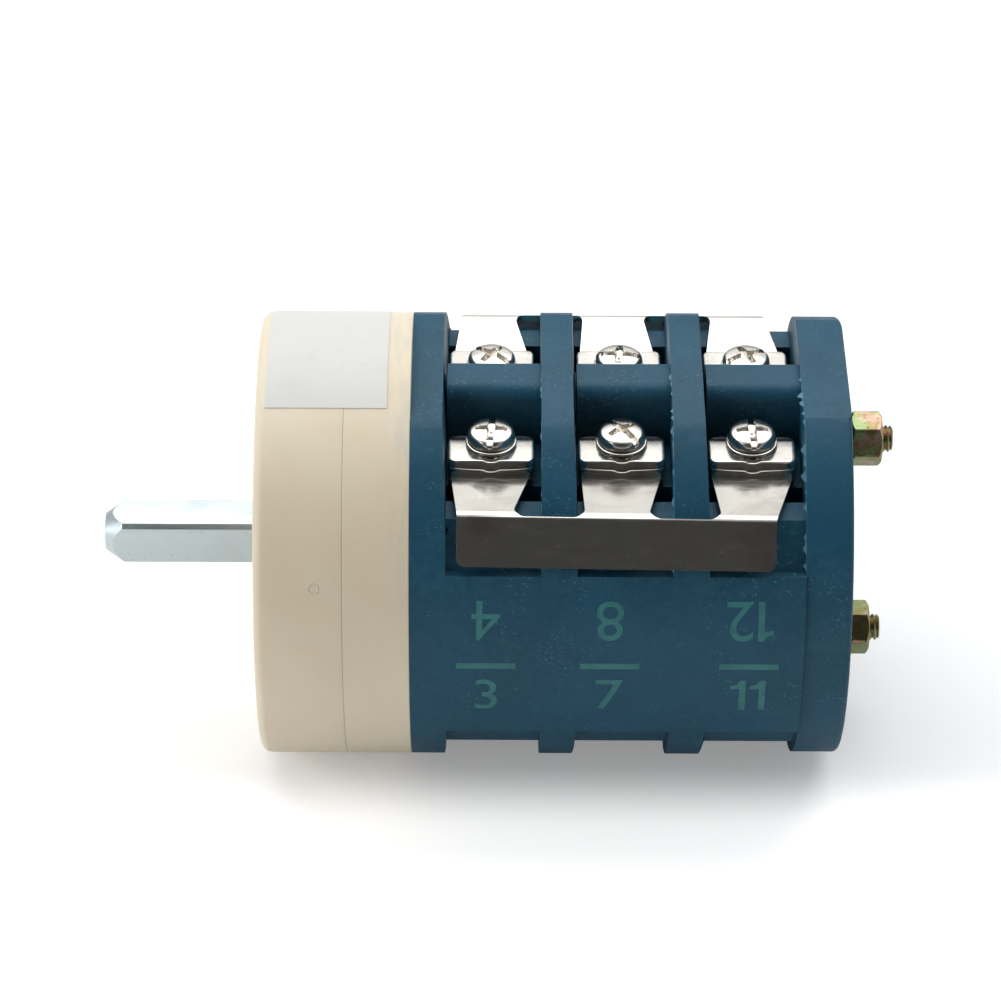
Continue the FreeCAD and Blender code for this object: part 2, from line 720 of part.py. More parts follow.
def terminal_screws():
    """Build twelve pan head screws, each with a cross recess."""
    radius, height = size("screw_head_radius"), size("screw_head_height")
    edge = size("screw_edge_height")
    dome = Vector(DOME_MIDDLE[0] * radius, 0, edge + DOME_MIDDLE[1] * (height - edge))
    profile = Part.Wire([
        Part.LineSegment(Vector(0, 0, 0), Vector(radius, 0, 0)).toShape(),
        Part.LineSegment(Vector(radius, 0, 0), Vector(radius, 0, edge)).toShape(),
        Part.Arc(Vector(radius, 0, edge), dome, Vector(0, 0, height)).toShape(),
        Part.LineSegment(Vector(0, 0, height), Vector(0, 0, 0)).toShape(),
    ])
    head = Part.Face(profile).revolve(Vector(), Vector(0, 0, 1), 360)
    below = size("washer_thickness") + plates_height() + size("screw_reach")
    screw = head.fuse(Part.makeCylinder(size("screw_radius"), below, Vector(0, 0, -below))).removeSplitter()
    width, length, depth = size("recess_width"), size("recess_span"), size("recess_cut")
    for across, along in ((width, length), (length, width)):
        corner = Vector(-across / 2, -along / 2, height - depth)
        screw = screw.cut(Part.makeBox(across, along, depth + 1, corner))
    screw.translate(Vector(0, size("screw_offset"), 0))
    return copies("terminal_screws", screw, stack_spots(plates_height() + size("washer_thickness")))


def strap_section(height, thickness):
    """Draw a strap's section in the YZ plane: flat on the terminals, rising a little, then leaning down."""
    lean, tilt = math.radians(size("strap_lean")), math.radians(size("strap_tilt"))
    outward = Vector(0, math.sin(lean), math.cos(lean))
    downward = Vector(0, math.cos(lean), -math.sin(lean))
    rising = Vector(0, math.cos(tilt), math.sin(tilt))
    first, bend = size("strap_inner"), size("strap_bend")
    half_turn = math.tan((lean + tilt) / 2)
    clear = size("body_radius") + size("strap_clearance")
    faces = []
    for level, plane, inset in ((height + thickness, clear + thickness, 0.0), (height, clear, thickness)):
        knee_y = size("clamp_outer") + size("strap_knee") + inset * math.tan(tilt / 2)
        knee = Vector(0, knee_y, level)
        corner = knee + rising * ((plane - knee.dot(outward)) / rising.dot(outward))
        faces.append((Vector(0, first, level), knee, corner, (bend - inset) * half_turn))
    (top_start, top_knee, top_corner, top_setback), (low_start, low_knee, low_corner, low_setback) = faces
    outer_end = top_corner + downward * size("strap_bar_height")
    inner_end = outer_end - outward * thickness
    outer_arc = rounded_corner(top_knee, top_corner, outer_end, top_setback)
    inner_arc = rounded_corner(inner_end, low_corner, low_knee, low_setback)
    path = [Part.LineSegment(low_start, top_start).toShape(),
            Part.LineSegment(top_start, top_knee).toShape(),
            Part.LineSegment(top_knee, outer_arc[0]).toShape(), outer_arc[2],
            Part.LineSegment(outer_arc[1], outer_end).toShape(),
            Part.LineSegment(outer_end, inner_end).toShape(),
            Part.LineSegment(inner_end, inner_arc[0]).toShape(), inner_arc[2],
            Part.LineSegment(inner_arc[1], low_knee).toShape(),
            Part.LineSegment(low_knee, low_start).toShape()]
    return Part.Face(Part.Wire(path)), top_corner.y


def rounded_corner(before, corner, after, setback):
    """Replace a corner by a tangent arc, given how far back along each run it starts."""
    towards, away = (before - corner).normalize(), (after - corner).normalize()
    start, end = corner + towards * setback, corner + away * setback
    half = math.acos(max(-1.0, min(1.0, towards.dot(away)))) / 2
    radius = setback * math.tan(half)
    centre = corner + (towards + away).normalize() * (setback / math.cos(half))
    middle = centre + (corner - centre).normalize() * radius
    return start, end, Part.Arc(start, middle, end).toShape()


def strap_mask(points):
    """Raise a tall block from a plan view outline, to cut a strap's blank with."""
    outline = [Vector(x, y, 0) for x, y in points]
    return Part.Face(Part.makePolygon(outline + outline[:1])).extrude(Vector(0, 0, 2 * size("body_radius")))


def strap(side):
    """Build one jumper strap: three forked tongues on the upper terminals and the bar that joins them."""
    thickness = size("strap_thickness")
    height = size("seat_height") + size("strip_thickness")
    face, bend_start = strap_section(height, thickness)
    screws = [terminal_x(index) for index in STAGE_INDEX]
    necks = [x + size("strap_shift") for x in screws]
    root, inner, shoulder = size("strap_root_half"), size("strap_inner"), size("clamp_outer")
    halves = [size("strap_neck_half")] * STAGES
    halves[0] = halves[-1] = size("strap_end_half")
    low, high = necks[0] - halves[0], necks[-1] + halves[-1]
    face.translate(Vector(screws[0] - root, 0, 0))
    blank = face.extrude(Vector(screws[-1] - screws[0] + 2 * root, 0, 0))
    reach = 2 * size("body_radius")
    tools = []
    for end, corner, way in ((low, screws[0] - root, -reach), (high, screws[-1] + root, reach)):
        tools.append(strap_mask([(end + way, inner - 1), (corner, inner - 1), (corner, shoulder),
                                 (end, bend_start), (end, reach), (end + way, reach)]))
    for left, right in zip(STAGE_INDEX, STAGE_INDEX[1:]):
        left_root, right_root = screws[left] + root, screws[right] - root
        left_neck, right_neck = necks[left] + halves[left], necks[right] - halves[right]
        notch = strap_mask([(left_root, inner - 1), (left_root, shoulder), (left_neck, bend_start),
                            (right_neck, bend_start), (right_root, shoulder), (right_root, inner - 1)])
        corners = [edge for edge in upright_edges(notch) if abs(edge.CenterOfMass.y - bend_start) < 1e-4]
        tools.append(notch.makeFillet(size("strap_notch_round"), corners))
    room = size("screw_radius") + size("slot_gap")
    for x in screws:
        fork = Vector(x - room, inner - 1, 0)
        tools.append(Part.makeBox(2 * room, size("screw_offset") - inner + 1, reach, fork))
        tools.append(Part.makeCylinder(room, reach, Vector(x, size("screw_offset"), 0)))
    shape = blank.cut(tools).removeSplitter()
    bar_end = [edge for edge in shape.Edges if abs(edge.Length - thickness) < 1e-3
               and (abs(edge.CenterOfMass.x - low) < 1e-3 or abs(edge.CenterOfMass.x - high) < 1e-3)
               and edge.CenterOfMass.z < height - 0.5 * size("strap_bar_height")]
    shape = shape.makeFillet(size("strap_corner"), bar_end)
    if side == NEAR:
        shape = shape.mirror(Vector(), Vector(0, 1, 0))
        screw = Vector(screws[0], -size("screw_offset"), 0)
        shape.rotate(screw, Vector(0, 0, 1), -size("strap_near_turn"))
    return fixed(f"jumper_strap_{side_word(side)}", Part.makeCompound([shape]))


def tie_rods():
    """Build the two long screws that hold the stack together."""
    head, height = size("rod_head_radius"), size("rod_head_height")
    end = end_face_x() + size("nut_seat_height") + size("nut_height") + size("rod_tail")
    seat = size("rod_clearance")
    bolt = Part.makeCylinder(head, height, Vector(seat, 0, 0), Vector(1, 0, 0))
    bolt = bolt.fuse(Part.makeCylinder(size("rod_radius"), end - seat, Vector(seat, 0, 0), Vector(1, 0, 0)))
    width = size("recess_width")
    slot = Part.makeBox(size("recess_cut"), width, 2 * head, Vector(seat, -width / 2, -head))
    bolt = bolt.removeSplitter().cut(slot)
    tip = [edge for edge in bolt.Edges if abs(edge.CenterOfMass.x - end) < 1e-4]
    bolt = bolt.makeChamfer(size("rod_chamfer"), tip)
    return copies("tie_rods", bolt, [Placement(Vector(0, 0, level * size("rod_offset")), Rotation())
                                     for level in (LOWER, UPPER)])


def tie_nuts():
    """Build the two hexagon nuts at the rear, with their corners turned off."""
    across, height = size("nut_across_flats"), size("nut_height")
    corner = across / math.sqrt(3)
    outline = [Vector(0, corner * math.cos(math.radians(60 * k)), corner * math.sin(math.radians(60 * k)))
               for k in range(7)]
    nut = Part.Face(Part.makePolygon(outline)).extrude(Vector(height, 0, 0))
    dome = Part.makeCylinder(corner, height, Vector(), Vector(1, 0, 0))
    rims = [edge for edge in dome.Edges if edge.Closed]
    nut = nut.common(dome.makeChamfer(size("nut_chamfer"), rims))
    bore = size("rod_radius") + size("thread_gap")
    nut = nut.cut(Part.makeCylinder(bore, height, Vector(), Vector(1, 0, 0)))
    x = end_face_x() + size("nut_seat_height")
    spots = [Placement(Vector(x, 0, level * size("rod_offset")), Rotation(Vector(1, 0, 0), turn))
             for level, turn in NUT_TURNS.items()]
    return copies("tie_nuts", nut, spots)


def panel_inserts():
    """Build the two threaded brass inserts for the panel screws."""
    length = size("insert_length") - size("insert_setback") - size("insert_gap")
    start = Vector(size("insert_setback"), 0, 0)
    tube = Part.makeCylinder(size("insert_radius") - size("thread_gap"), length, start, Vector(1, 0, 0))
    bore = Part.makeCylinder(size("insert_bore_radius"), size("insert_length"), Vector(), Vector(1, 0, 0))
    tube = tube.cut(bore)
    return copies("panel_inserts", tube, [Placement(Vector(0, side * size("insert_offset"), 0), Rotation())
                                          for side in (NEAR, FAR)])


def rear_bush():
    """Build the bush on the spindle's end that runs in the end plate."""
    x = (f"{END_START} + bush_gap", f"{END_FACE} - end_floor - bush_gap")
    square = square_bar("bush_square", (f"{x[0]} - 1", f"{x[1]} + 1"), "spindle_fit")
    return cut("rear_bush", rod("bush_disc", "hub_radius", x), [square])


def label():
    """Build the blank sticker that wraps over the upper near side of the cap."""
    x = ("label_start", "label_end")
    ring = cut("label_ring", rod("label_outer", "body_radius + label_thickness", x),
               [rod("label_inner", "body_radius", x)])
    return common("rating_label", ring, block("label_window", x, ("-label_near", "label_far"), ("0", REACH)))


def build():
    """Build every sub-part and return them in order."""
    made = [cover(), housing(), label(), panel_inserts()]
    made += [spindle(), spindle_clip(), detent_rotor(), rear_bush()]
    for side in (NEAR, FAR):
        made += [plunger(side), detent_spring(side), strap(side)]
    for index in STAGE_INDEX:
        made += [chamber(index), cam(index)]
        for side in (NEAR, FAR):
            made += [follower(index, side), contact_bar(index, side)]
            made += [terminal_strip(index, side, level) for level in (LOWER, UPPER)]
    made += [bridge_springs(), end_plate(), wire_plates(), clamp_plates()]
    made += [lock_washers(), terminal_screws(), tie_rods(), tie_nuts()]
    return made


def write(made):
    """Check every object and sub-part, then write one STEP file a sub-part."""
    doc.recompute()
    broken = [thing.Name for thing in doc.Objects if "Invalid" in thing.State or "Error" in thing.State]
    if broken:
        raise RuntimeError(f"failed: {broken}")
    os.makedirs(OUT, exist_ok=True)
    for thing in made:
        thing.Label = thing.Name
        if thing.Shape.isNull() or not thing.Shape.isValid():
            raise RuntimeError(f"bad shape: {thing.Label}")
        thing.Shape.exportStep(os.path.join(OUT, f"{thing.Label}.step"))
        print(thing.Label, len(thing.Shape.Solids), round(thing.Shape.Volume, 1))


write(build())
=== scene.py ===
"""Forward reverse cam switch: the finish and fine detail of every piece, and a plain studio around it.

Lengths are millimetres until a mesh is made, and places come from the frame's own boxes. +X runs back
through the switch along its spindle, +Z is the side of the upper terminals, -Y is the near side.
"""

import json
import logging
import math
from dataclasses import dataclass, field
from enum import Enum

import bmesh
import bpy
import numpy as np
from mathutils import Matrix, Vector

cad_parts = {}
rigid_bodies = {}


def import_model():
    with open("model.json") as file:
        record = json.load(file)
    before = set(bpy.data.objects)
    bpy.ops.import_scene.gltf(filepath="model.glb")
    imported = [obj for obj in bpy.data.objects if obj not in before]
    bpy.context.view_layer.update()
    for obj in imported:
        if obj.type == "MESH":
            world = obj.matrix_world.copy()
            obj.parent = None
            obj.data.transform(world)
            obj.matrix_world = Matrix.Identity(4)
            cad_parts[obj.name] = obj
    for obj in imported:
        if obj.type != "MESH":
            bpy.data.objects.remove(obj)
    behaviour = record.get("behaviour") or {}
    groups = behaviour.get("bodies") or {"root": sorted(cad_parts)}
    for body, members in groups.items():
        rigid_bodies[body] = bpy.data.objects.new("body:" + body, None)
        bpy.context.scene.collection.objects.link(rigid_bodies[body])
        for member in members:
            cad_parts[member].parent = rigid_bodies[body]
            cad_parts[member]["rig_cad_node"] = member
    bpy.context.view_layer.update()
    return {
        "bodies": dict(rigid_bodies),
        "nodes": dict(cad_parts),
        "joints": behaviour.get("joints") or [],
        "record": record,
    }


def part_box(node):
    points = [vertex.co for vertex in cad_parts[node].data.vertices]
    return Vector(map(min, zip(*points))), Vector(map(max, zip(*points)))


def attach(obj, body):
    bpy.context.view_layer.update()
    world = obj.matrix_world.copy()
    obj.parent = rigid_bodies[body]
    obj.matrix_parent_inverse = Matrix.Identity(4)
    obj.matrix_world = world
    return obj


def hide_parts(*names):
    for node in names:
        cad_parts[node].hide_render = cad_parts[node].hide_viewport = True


MM = 0.001
TURN = 2 * math.pi
LOG = logging.getLogger("switch")
Socket = bpy.types.NodeSocket
Colour = tuple[float, float, float]


class Side(Enum):
    """The two sides of the switch that carry terminals."""

    NEAR = -1
    FAR = 1


class Level(Enum):
    """The two rows of terminals on a side."""

    LOWER = -1
    UPPER = 1


class Slot(Enum):
    """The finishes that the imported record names."""

    CREAM = "cream_moulding"
    BLUE = "blue_moulding"
    FILM = "label_film"
    NYLON = "white_nylon"
    BRASS = "brass"
    NICKEL = "nickel_plate"
    BRIGHT = "bright_zinc"
    YELLOW = "yellow_zinc"
    SPRING = "spring_steel"


def rgb(red: int, green: int, blue: int) -> Colour:
    """Turn a display colour of 0 to 255 into the linear colour that a shader takes."""
    parts = [value / 255 for value in (red, green, blue)]
    return tuple(part / 12.92 if part <= 0.04045 else ((part + 0.055) / 1.055) ** 2.4 for part in parts)


class Graph:
    """A shader node tree, with short calls that add a node and return its output."""

    def __init__(self, tree: bpy.types.NodeTree) -> None:
        """Take the tree that the nodes go in."""
        self.tree = tree

    def node(self, kind: str, **settings: object) -> bpy.types.Node:
        """Add a node and set its own properties."""
        made = self.tree.nodes.new(kind)
        for name, value in settings.items():
            setattr(made, name, value)
        return made

    def put(self, target: Socket, value: object) -> None:
        """Join an output to a socket, or set the socket to a plain value."""
        if isinstance(value, Socket):
            self.tree.links.new(value, target)
        elif target.type == "RGBA" and len(value) == 3:
            target.default_value = (*value, 1.0)
        else:
            target.default_value = value

    def maths(self, operation: str, first: object, second: object = 0.0, clamp: bool = False) -> Socket:
        """Work out one operation on two numbers."""
        made = self.node("ShaderNodeMath", operation=operation, use_clamp=clamp)
        self.put(made.inputs[0], first)
        self.put(made.inputs[1], second)
        return made.outputs[0]

    def times(self, first: object, second: object) -> Socket:
        """Multiply two numbers."""
        return self.maths("MULTIPLY", first, second)

    def fade(self, value: object, start: float, end: float) -> Socket:
        """Ramp smoothly from 0 at start to 1 at end."""
        made = self.node("ShaderNodeMapRange", interpolation_type="SMOOTHSTEP")
        self.put(made.inputs["Value"], value)
        made.inputs["From Min"].default_value = min(start, end)
        made.inputs["From Max"].default_value = max(start, end)
        made.inputs["To Min"].default_value = 0.0 if start < end else 1.0
        made.inputs["To Max"].default_value = 1.0 if start < end else 0.0
        return made.outputs["Result"]

    def blend(self, amount: object, first: object, second: object) -> Socket:
        """Mix two colours by an amount."""
        made = self.node("ShaderNodeMix", data_type="RGBA")
        self.put(made.inputs[0], amount)
        self.put(made.inputs[6], first)
        self.put(made.inputs[7], second)
        return made.outputs[2]

    def between(self, amount: object, first: float, second: float) -> Socket:
        """Mix two numbers by an amount."""
        made = self.node("ShaderNodeMapRange")
        self.put(made.inputs["Value"], amount)
        made.inputs["To Min"].default_value = first
        made.inputs["To Max"].default_value = second
        return made.outputs["Result"]

    def noise(self, vector: object, scale: float, detail: float = 3.0, warp: float = 0.0) -> Socket:
        """Read a cloudy pattern at a scale in cells a metre."""
        made = self.node("ShaderNodeTexNoise")
        self.put(made.inputs["Vector"], vector)
        self.put(made.inputs["Scale"], scale)
        made.inputs["Detail"].default_value = detail
        made.inputs["Distortion"].default_value = warp
        return made.outputs["Fac"]

    def place(self) -> Socket:
        """Give the piece's own coordinates in metres."""
        return self.node("ShaderNodeTexCoord").outputs["Object"]

    def stretch(self, vector: object, scale: Colour) -> Socket:
        """Squeeze coordinates by a factor on each axis."""
        made = self.node("ShaderNodeMapping")
        self.put(made.inputs["Vector"], vector)
        made.inputs["Scale"].default_value = scale
        return made.outputs["Vector"]

    def split(self, vector: object) -> tuple[Socket, Socket, Socket]:
        """Give the three parts of a vector."""
        made = self.node("ShaderNodeSeparateXYZ")
        self.put(made.inputs[0], vector)
        return tuple(made.outputs)

    def bump(self, height: object, depth: float) -> Socket:
        """Turn a height of 0 to 1 into a surface normal, for a depth in millimetres."""
        made = self.node("ShaderNodeBump")
        self.put(made.inputs["Height"], height)
        made.inputs["Distance"].default_value = depth * MM
        return made.outputs["Normal"]

    def group(self, name: str, **values: object) -> dict[str, Socket]:
        """Place a shared effect with its own values and return its outputs by name."""
        made = self.node("ShaderNodeGroup", node_tree=bpy.data.node_groups[name])
        for key, value in values.items():
            self.put(made.inputs[key], value)
        return {output.name: output for output in made.outputs}


class Effects:
    """The shader node groups that several finishes share."""

    LINES = "fine_scratches"
    SPECKS = "dust_and_specks"
    WEAR = "edge_wear"
    GRAIN = "tool_grain"
    SPECK_EDGE = 14.0

    @staticmethod
    def start(name: str, inputs: dict[str, float | None],
              outputs: list[str]) -> tuple[Graph, dict[str, Socket], dict[str, Socket]]:
        """Make an empty group.

        Args:
            name: The group's name.
            inputs: Each input with its default, or None where it takes a vector.
            outputs: The names of the values that the group puts out.

        Returns:
            The group's graph, its inputs by name, and the sockets that its outputs are joined to.
        """
        tree = bpy.data.node_groups.new(name, "ShaderNodeTree")
        for key, value in inputs.items():
            kind = "NodeSocketVector" if value is None else "NodeSocketFloat"
            socket = tree.interface.new_socket(name=key, in_out="INPUT", socket_type=kind)
            if value is not None:
                socket.default_value = value
        for key in outputs:
            tree.interface.new_socket(name=key, in_out="OUTPUT", socket_type="NodeSocketFloat")
        graph = Graph(tree)
        source = graph.node("NodeGroupInput").outputs
        target = graph.node("NodeGroupOutput").inputs
        return graph, {key: source[key] for key in inputs}, {key: target[key] for key in outputs}

    def lines(self) -> None:
        """Build hairline scratches: the thin contours of two warped noises, broken up by a third."""
        graph, given, out = self.start(self.LINES, {"Vector": None, "Scale": 300.0, "Width": 0.012}, ["Mask"])
        masks = []
        for warp, turn in ((0.6, (1.0, 0.35, 1.0)), (1.4, (0.3, 1.0, 0.8))):
            cloud = graph.noise(graph.stretch(given["Vector"], turn), 0.0, 1.0, warp)
            graph.put(cloud.node.inputs["Scale"], given["Scale"])
            gap = graph.maths("ABSOLUTE", graph.maths("SUBTRACT", cloud, 0.5))
            masks.append(graph.maths("SUBTRACT", 1.0, graph.maths("DIVIDE", gap, given["Width"]), clamp=True))
        both = graph.maths("MAXIMUM", masks[0], masks[1])
        patches = graph.fade(graph.noise(given["Vector"], 420.0, 2.0), 0.45, 0.62)
        graph.put(out["Mask"], graph.times(both, patches))

    def specks(self) -> None:
        """Build scattered specks: the middles of random cells, each of its own size."""
        graph, given, out = self.start(self.SPECKS, {"Vector": None, "Scale": 900.0, "Size": 0.25}, ["Mask"])
        cells = graph.node("ShaderNodeTexVoronoi")
        graph.put(cells.inputs["Vector"], given["Vector"])
        graph.put(cells.inputs["Scale"], given["Scale"])
        chance = graph.split(cells.outputs["Color"])[0]
        radius = graph.times(graph.maths("POWER", chance, 3.0), given["Size"])
        inside = graph.maths("SUBTRACT", radius, cells.outputs["Distance"])
        graph.put(out["Mask"], graph.maths("MULTIPLY", inside, self.SPECK_EDGE, clamp=True))

    def wear(self) -> None:
        """Build edge wear: where the surface turns outwards sharply, broken up by noise."""
        graph, given, out = self.start(self.WEAR, {"Vector": None, "Scale": 700.0, "Low": 0.52, "High": 0.62},
                                       ["Mask"])
        sharp = graph.node("ShaderNodeNewGeometry").outputs["Pointiness"]
        cloud = graph.noise(given["Vector"], 0.0, 3.0)
        graph.put(cloud.node.inputs["Scale"], given["Scale"])
        span = graph.maths("SUBTRACT", given["High"], given["Low"])
        ridge = graph.maths("DIVIDE", graph.maths("SUBTRACT", sharp, given["Low"]), span, clamp=True)
        graph.put(out["Mask"], graph.times(ridge, graph.fade(cloud, 0.3, 0.62)))

    def grain(self) -> None:
        """Build tool grain: noise drawn out across the spindle's axis, with a fine mottle over it."""
        graph, given, out = self.start(self.GRAIN, {"Vector": None, "Scale": 1.0, "Mottle": 0.4}, ["Height"])
        scaled = graph.node("ShaderNodeVectorMath", operation="SCALE")
        graph.put(scaled.inputs[0], given["Vector"])
        graph.put(scaled.inputs["Scale"], given["Scale"])
        drawn = graph.noise(graph.stretch(scaled.outputs[0], (4200.0, 420.0, 420.0)), 1.0, 2.0)
        mottle = graph.noise(scaled.outputs[0], 2600.0, 4.0)
        mixed = graph.node("ShaderNodeMix", data_type="FLOAT")
        graph.put(mixed.inputs[0], given["Mottle"])
        graph.put(mixed.inputs[2], drawn)
        graph.put(mixed.inputs[3], mottle)
        graph.put(out["Height"], mixed.outputs[0])

    def build(self) -> None:
        """Build every shared effect."""
        for make in (self.lines, self.specks, self.wear, self.grain):
            make()


@dataclass(frozen=True)
class Finish:
    """What every finish has: its name, its main colour and how rough it is."""

    name: str
    base: Colour
    roughness: float = 0.5

    def start(self) -> tuple[bpy.types.Material, Graph, dict[str, Socket]]:
        """Make an empty material and return it with its graph and its shader's sockets."""
        material = bpy.data.materials.new(self.name)
        material.use_nodes = True
        graph = Graph(material.node_tree)
        return material, graph, {socket.name: socket for socket in principled(material).inputs}

    def material(self) -> bpy.types.Material:
        """Build the finish's material."""
        raise NotImplementedError


@dataclass(frozen=True)
class Moulding(Finish):
    """A moulded plastic: clouded colour, tool grain, specks and pale worn edges."""

    shade: Colour = (0.0, 0.0, 0.0)
    worn: Colour = (1.0, 1.0, 1.0)
    cloud_scale: float = 60.0
    grain: float = 0.5
    grain_depth: float = 0.02
    specks: float = 0.2
    wear: float = 0.6
    scratches: float = 0.25
    glow: float = 0.0
    mottle: float = 0.2
    gloss: float = 0.4
    # Painted shade towards the rear: the span along the spindle where it fades in, and its greyish colour.
    painted_shade_span: tuple[float, float] = ()
    painted_shade_colour: Colour = rgb(214, 210, 198)

    def painted_shade_mask(self, graph: Graph, place: Socket) -> Socket:
        """Mask painted shade: a greyish, streaked darkening over the upper side. It fades in between two
        places along the spindle and holds beyond them, towards the joint at the piece's rear.
        """
        start, end = (value * MM for value in self.painted_shade_span)
        x, _, z = graph.split(place)
        band = graph.fade(x, start, end)
        upper = graph.fade(z, 0.002, 0.024)
        streaks = graph.fade(graph.noise(graph.stretch(place, (900.0, 160.0, 160.0)), 1.0, 4.0), 0.42, 0.66)
        return graph.times(graph.times(band, upper), streaks)

    def material(self) -> bpy.types.Material:
        """Build the plastic: clouds, then specks, wear and scratches over the base colour."""
        material, graph, shader = self.start()
        place = graph.place()
        cloud = graph.fade(graph.noise(place, self.cloud_scale, 4.0, 0.4), 0.34, 0.68)
        colour = graph.blend(cloud, self.base, self.shade)
        fine = graph.fade(graph.noise(place, 1500.0, 5.0), 0.35, 0.75)
        colour = graph.blend(graph.times(fine, self.mottle), colour, self.worn)
        # Painted shade: darken the colour towards the rear, by the joint.
        if self.painted_shade_span:
            mask = self.painted_shade_mask(graph, place)
            colour = graph.blend(graph.times(mask, 0.5), colour, self.painted_shade_colour)
        patches = graph.fade(graph.noise(place, 130.0, 2.0), 0.5, 0.64)
        specks = graph.group(Effects.SPECKS, Vector=place, Scale=2600.0, Size=0.55)["Mask"]
        specks = graph.times(graph.times(specks, patches), self.specks)
        wear = graph.times(graph.group(Effects.WEAR, Vector=place)["Mask"], self.wear)
        lines = graph.group(Effects.LINES, Vector=place, Scale=240.0, Width=0.006)["Mask"]
        lines = graph.times(lines, self.scratches)
        marks = graph.maths("MAXIMUM", graph.maths("MAXIMUM", specks, wear), lines)
        graph.put(shader["Base Color"], graph.blend(marks, colour, self.worn))
        grain = graph.group(Effects.GRAIN, Vector=place, Mottle=self.grain)["Height"]
        graph.put(shader["Roughness"], graph.between(grain, self.roughness - 0.08, self.roughness + 0.1))
        height = graph.maths("ADD", grain, graph.times(marks, 0.5))
        graph.put(shader["Normal"], graph.bump(height, self.grain_depth))
        shader["Subsurface Weight"].default_value = self.glow
        shader["Subsurface Radius"].default_value = (1.0, 0.7, 0.45)
        shader["Subsurface Scale"].default_value = 2.0 * MM
        shader["Specular IOR Level"].default_value = self.gloss
        return material


@dataclass(frozen=True)
class Plating(Finish):
    """A plated metal: a soft gloss with hairlines, pits and faint stains."""

    stain: Colour = (0.3, 0.26, 0.22)
    stain_amount: float = 0.3
    hairlines: float = 0.6
    lines_scale: float = 520.0
    pits: float = 0.4
    draw: Colour = (300.0, 900.0, 900.0)
    depth: float = 0.01

    def material(self) -> bpy.types.Material:
        """Build the plating: metal all over, its stains in colour and its marks in roughness and bump."""
        material, graph, shader = self.start()
        place = graph.place()
        stains = graph.fade(graph.noise(place, 85.0, 4.0, 0.8), 0.48, 0.72)
        colour = graph.blend(graph.times(stains, self.stain_amount), self.base, self.stain)
        lines = graph.group(Effects.LINES, Vector=place, Scale=self.lines_scale, Width=0.016)["Mask"]
        lines = graph.times(lines, self.hairlines)
        pits = graph.group(Effects.SPECKS, Vector=place, Scale=2100.0, Size=0.4)["Mask"]
        pits = graph.times(pits, self.pits)
        drawn = graph.noise(graph.stretch(place, self.draw), 1.0, 3.0)
        colour = graph.blend(graph.times(lines, 0.35), colour, (0.85, 0.84, 0.82))
        graph.put(shader["Base Color"], graph.blend(graph.times(pits, 0.5), colour, self.stain))
        rough = graph.between(drawn, self.roughness - 0.05, self.roughness + 0.09)
        rough = graph.maths("ADD", rough, graph.times(lines, 0.22), clamp=True)
        graph.put(shader["Roughness"], graph.maths("ADD", rough, graph.times(pits, 0.2), clamp=True))
        height = graph.maths("SUBTRACT", graph.times(drawn, 0.5),
                             graph.maths("MAXIMUM", lines, pits))
        graph.put(shader["Normal"], graph.bump(height, self.depth))
        shader["Metallic"].default_value = 1.0
        return material


@dataclass(frozen=True)
class Passivate(Plating):
    """Yellow chromate on zinc: gold with drifting green and rose patches."""

    green: Colour = (0.3, 0.42, 0.2)
    rose: Colour = (0.62, 0.38, 0.34)

    def material(self) -> bpy.types.Material:
        """Build the passivate: two clouds pull the gold to green and to rose, over dark specks."""
        material, graph, shader = self.start()
        place = graph.place()
        green = graph.fade(graph.noise(place, 240.0, 3.0, 0.6), 0.42, 0.62)
        rose = graph.fade(graph.noise(graph.stretch(place, (1.0, 1.3, 0.8)), 310.0, 2.0, 1.0), 0.5, 0.66)
        colour = graph.blend(graph.times(green, 0.75), self.base, self.green)
        colour = graph.blend(graph.times(rose, 0.6), colour, self.rose)
        pits = graph.group(Effects.SPECKS, Vector=place, Scale=2600.0, Size=0.5)["Mask"]
        graph.put(shader["Base Color"], graph.blend(graph.times(pits, self.pits), colour, self.stain))
        cloud = graph.noise(place, 900.0, 4.0)
        graph.put(shader["Roughness"], graph.between(cloud, self.roughness - 0.08, self.roughness + 0.1))
        graph.put(shader["Normal"], graph.bump(graph.maths("SUBTRACT", cloud, pits), self.depth))
        shader["Metallic"].default_value = 1.0
        return material


@dataclass(frozen=True)
class Film(Finish):
    """A blank printed film: smooth, a little glossy, with faint ripples and scuffs."""

    soil: Colour = (0.6, 0.56, 0.5)

    def material(self) -> bpy.types.Material:
        """Build the film: soil in clouds and hairlines over white, ripples in the bump."""
        material, graph, shader = self.start()
        place = graph.place()
        cloud = graph.fade(graph.noise(place, 170.0, 4.0), 0.52, 0.8)
        lines = graph.group(Effects.LINES, Vector=place, Scale=260.0, Width=0.006)["Mask"]
        marks = graph.maths("ADD", graph.times(cloud, 0.16), graph.times(lines, 0.22))
        graph.put(shader["Base Color"], graph.blend(marks, self.base, self.soil))
        graph.put(shader["Roughness"], graph.between(cloud, self.roughness, self.roughness + 0.15))
        ripples = graph.noise(graph.stretch(place, (90.0, 160.0, 160.0)), 1.0, 2.0)
        graph.put(shader["Normal"], graph.bump(ripples, 0.05))
        return material


